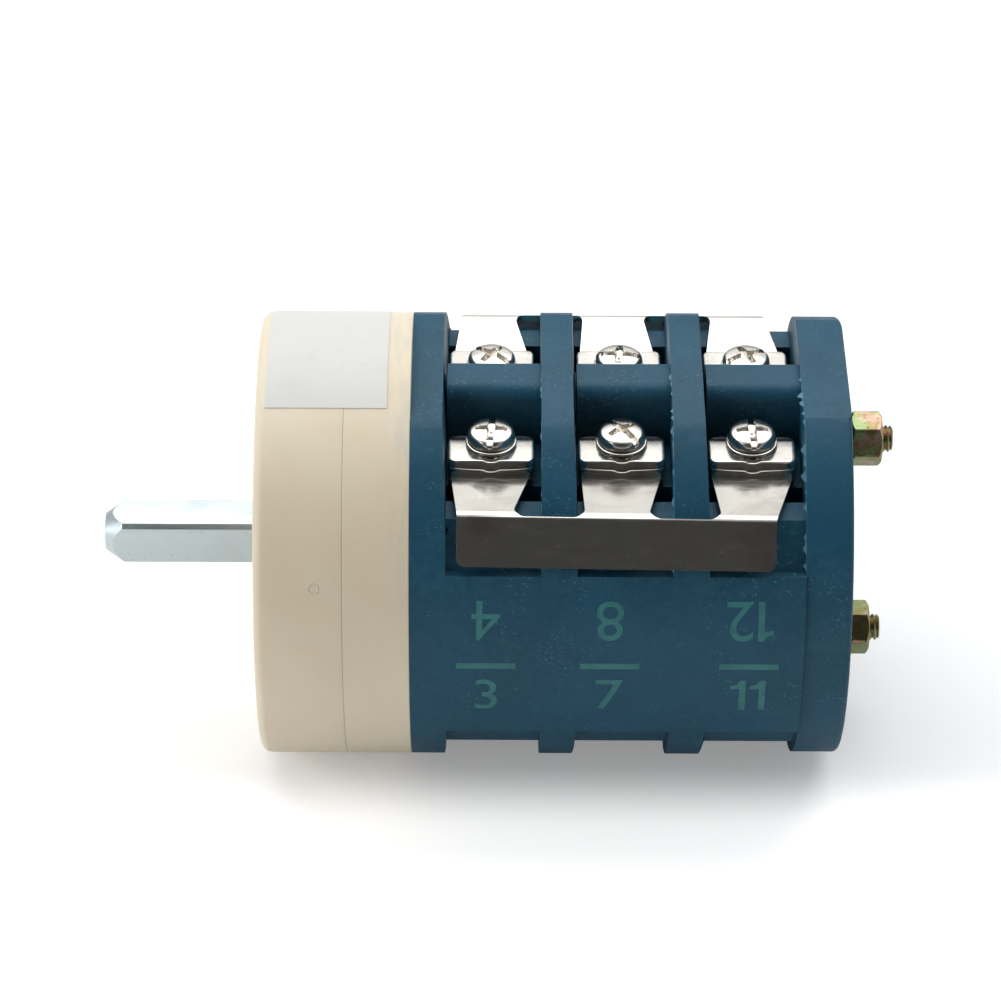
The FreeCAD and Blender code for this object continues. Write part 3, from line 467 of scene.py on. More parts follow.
FINISHES = {
    # The cream cap carries painted shade: greyish, darker towards its rear by the joint, fading in from 16.8
    # to 21.2 mm.
    Slot.CREAM: Moulding("cream_thermoset", rgb(239, 227, 202), 0.42, shade=rgb(232, 216, 188),
                         worn=rgb(236, 224, 204), cloud_scale=38.0, grain_depth=0.006, specks=0.12, wear=0.1,
                         scratches=0.12, glow=0.12, painted_shade_span=(16.8, 21.2)),
    Slot.BLUE: Moulding("blue_thermoset", rgb(24, 80, 105), 0.5, shade=rgb(21, 73, 96),
                        worn=rgb(84, 128, 142), cloud_scale=70.0,
                        grain_depth=0.012, specks=0.5, wear=0.1, scratches=0.25,
                        mottle=0.07, gloss=0.3),
    Slot.FILM: Film("blank_film", rgb(224, 223, 219), 0.52),
    Slot.NYLON: Moulding("natural_nylon", rgb(226, 222, 208), 0.4, shade=rgb(214, 208, 190),
                         worn=rgb(236, 232, 222), grain_depth=0.005, wear=0.1, glow=0.15),
    Slot.BRASS: Plating("plain_brass", rgb(214, 178, 108), 0.3, stain=rgb(128, 92, 48), stain_amount=0.45),
    Slot.NICKEL: Plating("nickel_plating", rgb(228, 224, 216), 0.17, stain=rgb(120, 88, 70),
                         stain_amount=0.25, hairlines=0.25, lines_scale=1600.0, pits=0.3),
    Slot.BRIGHT: Plating("bright_zinc_plating", rgb(205, 216, 218), 0.36, stain=rgb(150, 156, 158),
                         stain_amount=0.35, hairlines=0.25, pits=0.5, draw=(120.0, 2600.0, 2600.0),
                         depth=0.012),
    Slot.YELLOW: Passivate("yellow_passivate", rgb(146, 134, 88), 0.32, stain=rgb(58, 46, 32), pits=0.6),
    Slot.SPRING: Plating("spring_wire", rgb(150, 152, 156), 0.32, stain=rgb(84, 78, 74), stain_amount=0.4),
}
INK = Moulding("teal_ink", rgb(54, 124, 126), 0.5, shade=rgb(46, 110, 112), worn=rgb(72, 140, 140),
               cloud_scale=420.0, grain_depth=0.01, specks=0.3, wear=0.0)
FLASH = Moulding("blue_flash", rgb(66, 124, 146), 0.45, shade=rgb(50, 104, 128), worn=rgb(120, 166, 178),
                 cloud_scale=260.0, grain_depth=0.02, specks=0.4, wear=0.3)


class Wardrobe:
    """The finished materials, each made once."""

    def __init__(self) -> None:
        """Make the shared effects, then a material for each slot of the record."""
        Effects().build()
        self.by_slot = {slot: finish.material() for slot, finish in FINISHES.items()}
        self.ink = INK.material()
        self.flash = FLASH.material()

    def dress(self, piece: bpy.types.Object, slot: Slot, material: bpy.types.Material | None = None) -> None:
        """Give a piece its material: the one given, or else the one made for its slot."""
        piece.data.materials.clear()
        piece.data.materials.append(material or self.by_slot[slot])


class Shell:
    """Gathers grids of points into one mesh, closed at its seams and poles."""

    def __init__(self) -> None:
        """Start with no points and no faces."""
        self.points: list[np.ndarray] = []
        self.faces: list[list[int]] = []
        self.count = 0

    def grid(self, points: np.ndarray, wrap: bool = True, loop: bool = False, ends: bool = False) -> None:
        """Add a grid of quads.

        Args:
            points: Places in millimetres, shaped rows by columns by three.
            wrap: Whether the last column joins the first.
            loop: Whether the last row joins the first.
            ends: Whether the first and last rows are closed by one face each.
        """
        rows, columns = points.shape[:2]
        index = self.count + np.arange(rows * columns).reshape(rows, columns)
        across = np.arange(columns if wrap else columns - 1)
        down = np.arange(rows if loop else rows - 1)
        a, b = np.meshgrid(down, across, indexing="ij")
        c, d = (a + 1) % rows, (b + 1) % columns
        quads = np.stack([index[a, b], index[a, d], index[c, d], index[c, b]], axis=-1).reshape(-1, 4)
        self.faces += quads.tolist()
        if ends:
            self.faces += [index[0].tolist(), index[-1][::-1].tolist()]
        self.points.append(points.reshape(-1, 3))
        self.count += rows * columns

    def build(self, name: str, sharp: float = 35.0) -> bpy.types.Object:
        """Make the mesh in metres, turn its faces outwards and smooth it below a sharp angle."""
        mesh = bpy.data.meshes.new(name)
        mesh.from_pydata((np.concatenate(self.points) * MM).tolist(), [], self.faces)
        return finish_mesh(name, mesh, sharp)


def add_object(name: str, data: bpy.types.ID) -> bpy.types.Object:
    """Put data in the scene as an object at the origin."""
    piece = bpy.data.objects.new(name, data)
    bpy.context.scene.collection.objects.link(piece)
    return piece


def lay(x: object, y: object, z: object) -> np.ndarray:
    """Join three coordinates into places, each spread over the shape that the three make together."""
    return np.stack(np.broadcast_arrays(x, y, z), axis=-1)


def principled(material: bpy.types.Material) -> bpy.types.Node:
    """Find a material's Principled shader."""
    return next(node for node in material.node_tree.nodes if node.type == "BSDF_PRINCIPLED")


def finish_mesh(name: str, mesh: bpy.types.Mesh, sharp: float) -> bpy.types.Object:
    """Merge a mesh's doubles, turn its faces outwards, smooth it and put it in the scene."""
    work = bmesh.new()
    work.from_mesh(mesh)
    bmesh.ops.remove_doubles(work, verts=work.verts, dist=1e-6)
    bmesh.ops.recalc_face_normals(work, faces=work.faces)
    work.to_mesh(mesh)
    work.free()
    mesh.shade_smooth()
    mesh.set_sharp_from_angle(angle=math.radians(sharp))
    piece = add_object(name, mesh)
    return piece


def smooth_step(value: np.ndarray) -> np.ndarray:
    """Ease a value from 0 to 1, held outside that range."""
    held = np.clip(value, 0.0, 1.0)
    return held * held * (3 - 2 * held)


def middle_and_size(node: str) -> tuple[np.ndarray, np.ndarray, np.ndarray]:
    """Give a node's low corner, high corner and middle in millimetres."""
    low, high = (np.array(corner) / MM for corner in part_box(node))
    return low, high, (low + high) / 2


@dataclass
class EdgeRounding:
    """Copies a CAD node as a merged mesh with its sharp edges rounded, so that they catch light."""

    width: float = 0.18
    segments: int = 2
    angle: float = 32.0

    def copy(self, node: bpy.types.Object, name: str) -> bpy.types.Object:
        """Copy a node, merge its loose triangles into clean faces and bevel its edges.

        Args:
            node: The CAD node's object.
            name: The name of the new piece.

        Returns:
            The new piece, which rides and replaces nothing yet.
        """
        mesh = node.data.copy()
        mesh.name = name
        work = bmesh.new()
        work.from_mesh(mesh)
        bmesh.ops.remove_doubles(work, verts=work.verts, dist=2e-6)
        bmesh.ops.dissolve_limit(work, angle_limit=math.radians(0.6), verts=work.verts, edges=work.edges)
        work.to_mesh(mesh)
        work.free()
        mesh.shade_smooth()
        mesh.set_sharp_from_angle(angle=math.radians(self.angle))
        piece = add_object(name, mesh)
        bevel = piece.modifiers.new("rounding", "BEVEL")
        bevel.width = self.width * MM
        bevel.segments = self.segments
        bevel.limit_method = "ANGLE"
        bevel.angle_limit = math.radians(self.angle)
        bevel.use_clamp_overlap = True
        bevel.harden_normals = True
        return piece


@dataclass
class Builder:
    """What every sub-assembly needs: the frame, the materials and a record of what it made."""

    frame: dict
    wardrobe: Wardrobe
    made: list[str] = field(default_factory=list)

    def settle(self, piece: bpy.types.Object, body: str, slot: Slot, *nodes: str,
               material: bpy.types.Material | None = None) -> bpy.types.Object:
        """Dress a piece, let it ride on a body and stand for CAD nodes."""
        self.wardrobe.dress(piece, slot, material)
        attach(piece, body)
        if nodes:
            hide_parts(*nodes)
        self.made.append(piece.name)
        return piece

    def rounded(self, node: str, body: str, slot: Slot, rounding: EdgeRounding) -> bpy.types.Object:
        """Stand a rounded copy in for a CAD node."""
        piece = rounding.copy(self.frame["nodes"][node], f"{node}_moulded")
        return self.settle(piece, body, slot, node)

    def plain(self, node: str, slot: Slot) -> None:
        """Dress a CAD node that keeps its own mesh."""
        self.wardrobe.dress(self.frame["nodes"][node], slot)
        self.made.append(node)


@dataclass
class Cap(Builder):
    """The cream cap in two halves, its blank sticker and the ring left by the moulding gate."""

    gate_x: float = 8.4
    gate_angle: float = 22.0
    gate_radius: float = 0.72
    gate_ring: float = 0.2
    gate_rise: float = 0.09
    gate_sink: float = 0.02

    def gate_mark(self) -> bpy.types.Object:
        """Raise a small ring on the near side: a bump carried round a circle on the cap's surface.

        Returns:
            The ring as a piece of its own.
        """
        _, high, _ = middle_and_size("mechanism_cover")
        radius = high[2]
        turn = np.linspace(0, TURN, 48, endpoint=False)
        arc = np.linspace(0, math.pi, 9)
        ring = self.gate_radius + self.gate_ring * np.cos(arc)[:, None]
        along = ring * np.cos(turn)[None, :]
        around = ring * np.sin(turn)[None, :]
        lift = radius - self.gate_sink + self.gate_rise * np.sin(arc)[:, None]
        angle = math.radians(self.gate_angle) + around / radius
        shell = Shell()
        points = lay(self.gate_x + along, -lift * np.cos(angle), lift * np.sin(angle))
        shell.grid(points, loop=True)
        return shell.build("gate_mark")

    def build(self) -> None:
        """Build the cap's pieces."""
        rounding = EdgeRounding(width=0.16, segments=3)
        self.rounded("mechanism_cover", "switch_body", Slot.CREAM, rounding)
        self.rounded("mechanism_housing", "switch_body", Slot.CREAM, rounding)
        self.settle(self.gate_mark(), "switch_body", Slot.CREAM)
        self.plain("rating_label", Slot.FILM)
        self.plain("panel_inserts", Slot.BRASS)


@dataclass
class Drive(Builder):
    """The square spindle and what turns with it or clicks against it."""

    def build(self) -> None:
        """Build the spindle set, the detent and its springs."""
        self.rounded("spindle", "spindle_set", Slot.BRIGHT, EdgeRounding(width=0.14, segments=2, angle=24.0))
        for node in ("detent_rotor", "rear_bush", "cam_1", "cam_2", "cam_3",
                     "detent_plunger_near", "detent_plunger_far"):
            self.plain(node, Slot.NYLON)
        for node in ("spindle_clip", "detent_spring_near", "detent_spring_far"):
            self.plain(node, Slot.SPRING)


@dataclass
class Stack(Builder):
    """The three blue stages and the end plate, with flash along their edges."""

    flash_reaches: tuple[float, ...] = (0.25, 0.5, 0.85)
    flash_thickness: float = 0.1
    flash_lean: float = 0.01
    pad_half_height: float = 13.7
    seed: int = 7

    def outline(self, radius: float, flat: float, count: int) -> np.ndarray:
        """Walk a flange's edge on the near side, up its arc from the pad and across its flat.

        Args:
            radius: The arc's radius.
            flat: The height of the flat.
            count: How many points to give.

        Returns:
            Places across Y and Z, evenly spaced along the walk.
        """
        start, corner = math.asin(self.pad_half_height / radius), math.asin(flat / radius)
        arc = radius * (corner - start)
        across = radius * math.cos(corner)
        walk = np.linspace(0, arc + across, count)
        angle = start + np.minimum(walk, arc) / radius
        over = np.maximum(walk - arc, 0.0)
        y = -radius * np.cos(angle) + over
        z = radius * np.sin(angle)
        return np.stack([y, z], axis=-1)

    def flash(self, name: str, x: float, radius: float, flat: float, index: int) -> bpy.types.Object:
        """Hang a ragged fin of moulding flash on a flange's front edge.

        The fin is a strip along the edge. Its reach towards -X is the sum of three sines and noise, held
        between a thin lip and the whole reach, and it leans in a little as it leaves the edge.

        Returns:
            The fin, with a thin wall.
        """
        draw = np.random.default_rng(self.seed + index)
        count = 320
        edge = self.outline(radius - 0.05, flat - 0.03, count)
        walk = np.linspace(0, 1, count)
        phase = draw.uniform(0, TURN, 3)
        waves = sum(np.sin(TURN * walk * rate + shift) for rate, shift in zip((3.1, 7.7, 17.0), phase))
        ragged = draw.normal(0, 1, count)
        ragged = np.convolve(ragged, np.ones(9) / 9, mode="same")
        reach = self.flash_reaches[index] * np.clip(0.12 + 0.26 * waves + 0.5 * ragged, 0.05, 1.0)
        reach *= smooth_step(walk / 0.03) * smooth_step((1 - walk) / 0.05)
        step = np.array([0.0, 0.35, 0.7, 1.0])[:, None]
        inward = 1 - step * reach * self.flash_lean
        points = lay(x - step * reach, edge[:, 0] * inward, edge[:, 1] * inward)
        back = points.copy()
        thin = 1 - self.flash_thickness / radius * (1.0 - 0.6 * step)
        back[..., 1] *= thin
        back[..., 2] *= thin
        shell = Shell()
        shell.grid(np.concatenate([points, back[::-1]]), wrap=False, loop=True)
        return shell.build(name, 50.0)

    def build(self) -> None:
        """Build the stages, the end plate and their flash."""
        rounding = EdgeRounding(width=0.16, segments=2)
        for index in (1, 2, 3):
            self.rounded(f"chamber_{index}", "switch_body", Slot.BLUE, rounding)
        self.rounded("end_plate", "switch_body", Slot.BLUE, rounding)
        for index, node in enumerate(("chamber_2", "chamber_3", "end_plate")):
            low, high, _ = middle_and_size(node)
            radius = max(abs(low[1]), high[1])
            piece = self.flash(f"moulding_flash_{index + 1}", low[0], radius, high[2], index)
            self.settle(piece, "switch_body", Slot.BLUE, material=self.wardrobe.flash)


@dataclass
class Numbers(Builder):
    """The terminal numbers printed on the pads, the upper one of each pair upside down."""

    height: float = 6.0
    upper_middle: float = 7.7
    lower_middle: float = -5.0
    rule_middle: float = 0.45
    rule_length: float = 8.3
    rule_width: float = 0.95
    shifts: tuple[float, ...] = (1.5, 0.45, 1.55)
    ink: float = 0.03
    slices: int = 14
    spacing: float = 0.6
    one: tuple[tuple[float, float], ...] = ((0.0, 0.72), (0.0, 0.83), (0.15, 0.87), (0.24, 1.0), (0.36, 1.0),
                                            (0.36, 0.0), (0.21, 0.0), (0.21, 0.74))

    def wrap(self, points: np.ndarray, x: float, around: float, side: Side, radius: float) -> np.ndarray:
        """Lay flat points on the pad: across becomes X, and height becomes an arc round the axis."""
        angle = (around + points[:, 1]) / radius
        way = side.value
        across, up = way * radius * np.cos(angle), radius * np.sin(angle)
        return lay(x - way * points[:, 0], across, up)

    def figure(self, text: str) -> bpy.types.Mesh:
        """Draw one figure flat, as high as the print, from its lower left corner.

        The figure 1 is a stem with a sloped flag, and the others come from the built-in font.
        """
        if text == "1":
            mesh = bpy.data.meshes.new(text)
            mesh.from_pydata([(x, y, 0.0) for x, y in self.one], [], [tuple(range(len(self.one)))])
        else:
            curve = bpy.data.curves.new(text, "FONT")
            curve.body = text
            curve.resolution_u = 6
            holder = add_object(text, curve)
            bpy.context.view_layer.update()
            mesh = bpy.data.meshes.new_from_object(holder)
            bpy.data.objects.remove(holder)
        places = np.array([vertex.co for vertex in mesh.vertices])
        low, high = places.min(0), places.max(0)
        mesh.transform(Matrix.Scale(self.height / (high[1] - low[1]), 4) @ Matrix.Translation(-Vector(low)))
        return mesh

    def flat_text(self, text: str, turned: bool) -> bmesh.types.BMesh:
        """Draw a number flat and centred, cut into thin slices so that it can bend round the pad."""
        work = bmesh.new()
        across = 0.0
        for letter in text:
            mesh = self.figure(letter)
            mesh.transform(Matrix.Translation((across, 0.0, 0.0)))
            across = max(vertex.co.x for vertex in mesh.vertices) + self.spacing
            work.from_mesh(mesh)
            bpy.data.meshes.remove(mesh)
        bmesh.ops.triangulate(work, faces=work.faces)
        middle = Vector(((across - self.spacing) / 2, self.height / 2, 0.0))
        for vertex in work.verts:
            vertex.co = (vertex.co - middle) * (-1 if turned else 1)
        for level in np.linspace(-self.height / 2, self.height / 2, self.slices)[1:-1]:
            parts = work.verts[:] + work.edges[:] + work.faces[:]
            bmesh.ops.bisect_plane(work, geom=parts, plane_co=(0, level, 0), plane_no=(0, 1, 0))
        return work

    def rule(self) -> bmesh.types.BMesh:
        """Draw the bar between two numbers."""
        work = bmesh.new()
        half, wide = self.rule_length / 2, self.rule_width / 2
        rows = [[work.verts.new((x, y, 0)) for x in (-half, half)] for y in np.linspace(-wide, wide, 4)]
        for lower, upper in zip(rows, rows[1:]):
            work.faces.new((lower[0], lower[1], upper[1], upper[0]))
        return work

    def print_on(self, work: bmesh.types.BMesh, name: str, x: float, around: float, side: Side,
                 radius: float) -> bpy.types.Object:
        """Wrap a flat mark onto a pad and give it the thickness of ink."""
        places = np.array([vertex.co for vertex in work.verts])
        for vertex, place in zip(work.verts, self.wrap(places, x, around, side, radius)):
            vertex.co = Vector(place * MM)
        for face in work.faces:
            face.normal_update()
            if face.normal.y * side.value < 0:
                face.normal_flip()
        mesh = bpy.data.meshes.new(name)
        work.to_mesh(mesh)
        work.free()
        piece = add_object(name, mesh)
        wall = piece.modifiers.new("ink", "SOLIDIFY")
        wall.thickness = self.ink * MM
        wall.offset = 0.0
        return self.settle(piece, "switch_body", Slot.BLUE, material=self.wardrobe.ink)

    def build(self) -> None:
        """Print the numbers and bars on the near and far pads of each stage."""
        for index in range(3):
            low, high, middle = middle_and_size(f"chamber_{index + 1}")
            for side, above, below in ((Side.NEAR, 4, 3), (Side.FAR, 1, 2)):
                x = middle[0] + self.shifts[index]
                first = 4 * index
                upper, lower = str(first + above), str(first + below)
                marks = ((self.flat_text(upper, True), f"number_{upper}", self.upper_middle),
                         (self.rule(), f"number_rule_{index + 1}_{side.name.lower()}", self.rule_middle),
                         (self.flat_text(lower, False), f"number_{lower}", self.lower_middle))
                for work, name, around in marks:
                    self.print_on(work, name, x, around, side, high[1])


@dataclass(frozen=True)
class Terminal:
    """One screw terminal's place: the middle of its strip and the outer face of its seat."""

    number: int
    x: float
    seat: float
    side: Side
    level: Level

    def move(self, points: np.ndarray) -> np.ndarray:
        """Carry points from the far upper terminal's own frame to this terminal.

        A lower or a near terminal is a half turn of the upper far one, so no shape is turned inside out.
        """
        side, level = self.side.value, self.level.value
        turned = points * np.array([side * level, side, level])
        return turned + np.array([self.x, 0.0, level * self.seat])


@dataclass
class Terminals(Builder):
    """Twelve terminals: strips, two plates, a split washer and a screw on each, and the two straps."""

    screw_offset: float = 9.4
    strap: float = 0.8
    wire_plate: float = 0.9
    clamp_plate: float = 1.2
    washer: float = 0.7
    half_width: float = 6.05
    inner: float = 7.5
    outer: float = 13.9
    corner: float = 1.0
    bulge: float = 0.6
    hole: float = 2.07
    shank: float = 1.95
    head_radius: float = 3.4
    head_edge: float = 1.05
    head_height: float = 1.9
    washer_radius: float = 3.65
    reach: float = 4.2
    groove_depth: float = 0.34
    crease_depth: float = 0.13
    edge_softness: float = 0.22
    notch_step: float = 0.1
    cross_depth: float = 1.35
    cross_shoal: float = 0.75
    cross_reach: float = 2.25
    slot_depth: float = 0.62
    slot_half: float = 0.47
    washer_rise: float = 0.14
    washer_gap: float = 0.09
    number_turn: float = 37.0
    near_angles: tuple[float, ...] = (94.0, 52.0, 87.0)
    places: list[Terminal] = field(default_factory=list)

    def find(self) -> None:
        """Read each terminal's place from its strip's box."""
        for number in range(1, 13):
            low, high, middle = middle_and_size(f"terminal_strip_{number}")
            side = Side.NEAR if (number - 1) % 4 >= 2 else Side.FAR
            level = Level.UPPER if (number - 1) % 4 in (0, 3) else Level.LOWER
            seat = high[2] if level is Level.UPPER else -low[2]
            lift = self.strap if level is Level.UPPER else 0.0
            self.places.append(Terminal(number, middle[0], seat + lift, side, level))

    def plate_outline(self, turn: np.ndarray, bulge: float) -> np.ndarray:
        """Find how far a plate's outline lies from its screw at each angle.

        The outline is a rounded box whose outer side is bowed. For each angle the distance is halved in
        on until the signed distance to that box is nothing.
        """
        middle = np.array([0.0, (self.inner + self.outer) / 2])
        half = np.array([self.half_width, (self.outer - self.inner) / 2]) - self.corner
        low, high = np.full(turn.shape, 0.5), np.full(turn.shape, 12.0)
        for _ in range(40):
            far = (low + high) / 2
            x = far * np.cos(turn)
            y = self.screw_offset + far * np.sin(turn)
            bow = bulge * (1 - (x / self.half_width) ** 2) * (y > middle[1])
            q = np.abs(np.stack([x, y - bow], axis=-1) - middle) - half
            away = np.linalg.norm(np.maximum(q, 0), axis=-1) + np.minimum(q.max(-1), 0) - self.corner
            low, high = np.where(away < 0, far, low), np.where(away < 0, high, far)
        return (low + high) / 2

    def plate(self, base: float, thickness: float, bulge: float, pressed_through: bool) -> np.ndarray:
        """Loft a plate between its screw hole and its outline, as rings from the hole out and back.

        The top has a shallow crease along its inner edge and a pressed groove that runs from the screw to
        the outer side and widens as it goes.

        Returns:
            Rings of points, shaped rings by angles by three.
        """
        turn = np.linspace(0, TURN, 120, endpoint=False)
        edge = self.plate_outline(turn, bulge)
        edge_round = np.linspace(0, math.pi / 2, 4)
        soft = self.edge_softness
        rings = [(0.0, 0.0, 0.0)] + [(share, 1.0, 0.0) for share in (0.0, 0.25, 0.5, 0.7, 0.86)]
        rings += [(1.0, 1.0, angle) for angle in edge_round]
        rings += [(1.0, 0.0, 0.0), (0.5, 0.0, 0.0)]
        points = []
        for share, top, angle in rings:
            at_edge = share == 1.0
            inset = soft * (1 - math.sin(angle)) if at_edge and top else 0.05 * at_edge
            drop = soft * (1 - math.cos(angle)) if at_edge and top else 0.0
            far = self.hole + share * (edge - self.hole) - inset
            x, y = far * np.cos(turn), self.screw_offset + far * np.sin(turn)
            crease = self.crease_depth * smooth_step((self.inner + 1.1 - y) / 0.35)
            run = smooth_step((y - self.screw_offset - 2.4) / 2.0)
            width = 0.55 + 0.35 * smooth_step((y - self.outer + 1.6) / 1.6)
            groove = self.groove_depth * run * np.exp(-(x / width) ** 4)
            pressed = groove * float(bool(top or pressed_through))
            z = base + thickness * top - drop - pressed - crease * top
            points.append(lay(x, y, z))
        return np.array(points)

    def split_washer(self, base: float) -> np.ndarray:
        """Wind a split washer: a rounded bar section carried almost once round, rising a little."""
        turn = np.linspace(self.washer_gap, TURN - self.washer_gap, 72)
        section = np.linspace(0, TURN, 16, endpoint=False)
        squared = np.stack([np.sign(np.cos(section)) * np.abs(np.cos(section)) ** 0.4,
                            np.sign(np.sin(section)) * np.abs(np.sin(section)) ** 0.4])
        middle = (self.washer_radius + self.hole) / 2
        half_wide, half_high = (self.washer_radius - self.hole) / 2, self.washer / 2 - 0.07
        far = middle + half_wide * squared[0][None, :]
        climb = self.washer_rise * (turn / TURN - 0.5)[:, None]
        rise = base + self.washer / 2 + climb + half_high * squared[1][None, :]
        x = far * np.cos(turn)[:, None]
        y = self.screw_offset + far * np.sin(turn)[:, None]
        return lay(x, y, rise)

    def recess(self, x: np.ndarray, y: np.ndarray) -> np.ndarray:
        """Give the depth of a cross recess with a slot through it.

        Each arm of the cross is deepest in the middle and shoals outwards between tapered walls. The slot
        has a level floor and runs out through the rim.
        """
        depth = self.slot_depth * smooth_step((self.slot_half - np.abs(y)) / 0.1)
        for along, across in ((x, y), (y, x)):
            run = np.abs(along) / self.cross_reach
            wall = smooth_step((0.62 - 0.2 * run - np.abs(across)) / 0.16)
            arm = (self.cross_depth - self.cross_shoal * run) * wall * smooth_step((1.0 - run) / 0.12)
            depth = np.maximum(depth, arm)
        return depth

    def screw(self, base: float, angle: float) -> np.ndarray:
        """Turn a pan head screw: a dome with its recess, a rim, an under side, and a shank.

        Returns:
            Rings from the crown's middle out over the dome and down to the shank's tip.
        """
        turn = np.linspace(0, TURN, 132, endpoint=False)
        share = np.linspace(0.004, 1.0, 34) ** 0.85
        far = share[:, None] * (self.head_radius - 0.12)
        crown = self.head_height - self.head_edge
        height = self.head_edge + crown * np.sqrt(np.maximum(1 - share ** 2.4, 0.0))[:, None]
        way = turn + math.radians(angle)
        cut = self.recess(far * np.cos(way), far * np.sin(way))
        dome = lay(far * np.cos(turn), far * np.sin(turn), height - cut)
        head, edge = self.head_radius, self.head_edge
        rim = np.array([(head - 0.03, edge - 0.16), (head, edge - 0.4), (head, 0.22), (head - 0.07, 0.07),
                        (head - 0.24, 0.0), (self.shank, 0.0), (self.shank, -self.reach),
                        (self.shank - 0.4, -self.reach - 0.4)])
        notch = self.recess(rim[:2, :1] * np.cos(way), rim[:2, :1] * np.sin(way))
        down = np.repeat(rim[:, 1:], len(turn), axis=1)
        down[:2] = np.minimum(down[:2], self.head_edge + self.notch_step - notch)
        down[:2] = np.maximum(down[:2], rim[1, 1] - self.notch_step)
        sides = lay(rim[:, :1] * np.cos(turn), rim[:, :1] * np.sin(turn), down)
        points = np.concatenate([dome, sides])
        return points + np.array([0.0, self.screw_offset, base])

    def screw_angle(self, place: Terminal) -> float:
        """Give the turn of a screw's slot: as photographed on the near upper row, else spread by number."""
        if place.side is Side.NEAR and place.level is Level.UPPER:
            return self.near_angles[(place.number - 1) // 4]
        return self.number_turn * place.number

    def build(self) -> None:
        """Build every terminal's pieces and the two straps."""
        self.find()
        upper = self.wire_plate + self.clamp_plate
        layers = {
            "wire_plates": lambda place: self.plate(0.0, self.wire_plate, self.bulge, False),
            "clamp_plates": lambda place: self.plate(self.wire_plate, self.clamp_plate, 0.0, True),
        }
        for node, make in layers.items():
            shell = Shell()
            for place in self.places:
                shell.grid(place.move(make(place)), loop=True)
            self.settle(shell.build(f"{node}_pressed", 40.0), "switch_body", Slot.NICKEL, node)
        washers, screws = Shell(), Shell()
        for place in self.places:
            washers.grid(place.move(self.split_washer(upper)), ends=True)
            screws.grid(place.move(self.screw(upper + self.washer, self.screw_angle(place))), ends=True)
        self.settle(washers.build("lock_washers_wound"), "switch_body", Slot.NICKEL, "lock_washers")
        turned = screws.build("terminal_screws_turned", 28.0)
        self.settle(turned, "switch_body", Slot.NICKEL, "terminal_screws")
        for side in Side:
            self.rounded(f"jumper_strap_{side.name.lower()}", "switch_body", Slot.NICKEL,
                         EdgeRounding(width=0.2, segments=3, angle=40.0))
        for place in self.places:
            self.plain(f"terminal_strip_{place.number}", Slot.BRASS)


@dataclass
class Contacts(Builder):
    """What works inside the stages: followers, moving contact bars and their springs."""

    def build(self) -> None:
        """Dress the hidden contacts, which keep their CAD meshes."""
        for index in (1, 2, 3):
            for side in Side:
                self.plain(f"follower_{index}_{side.name.lower()}", Slot.NYLON)
                self.plain(f"contact_bar_{index}_{side.name.lower()}", Slot.BRASS)
        self.plain("bridge_springs", Slot.SPRING)


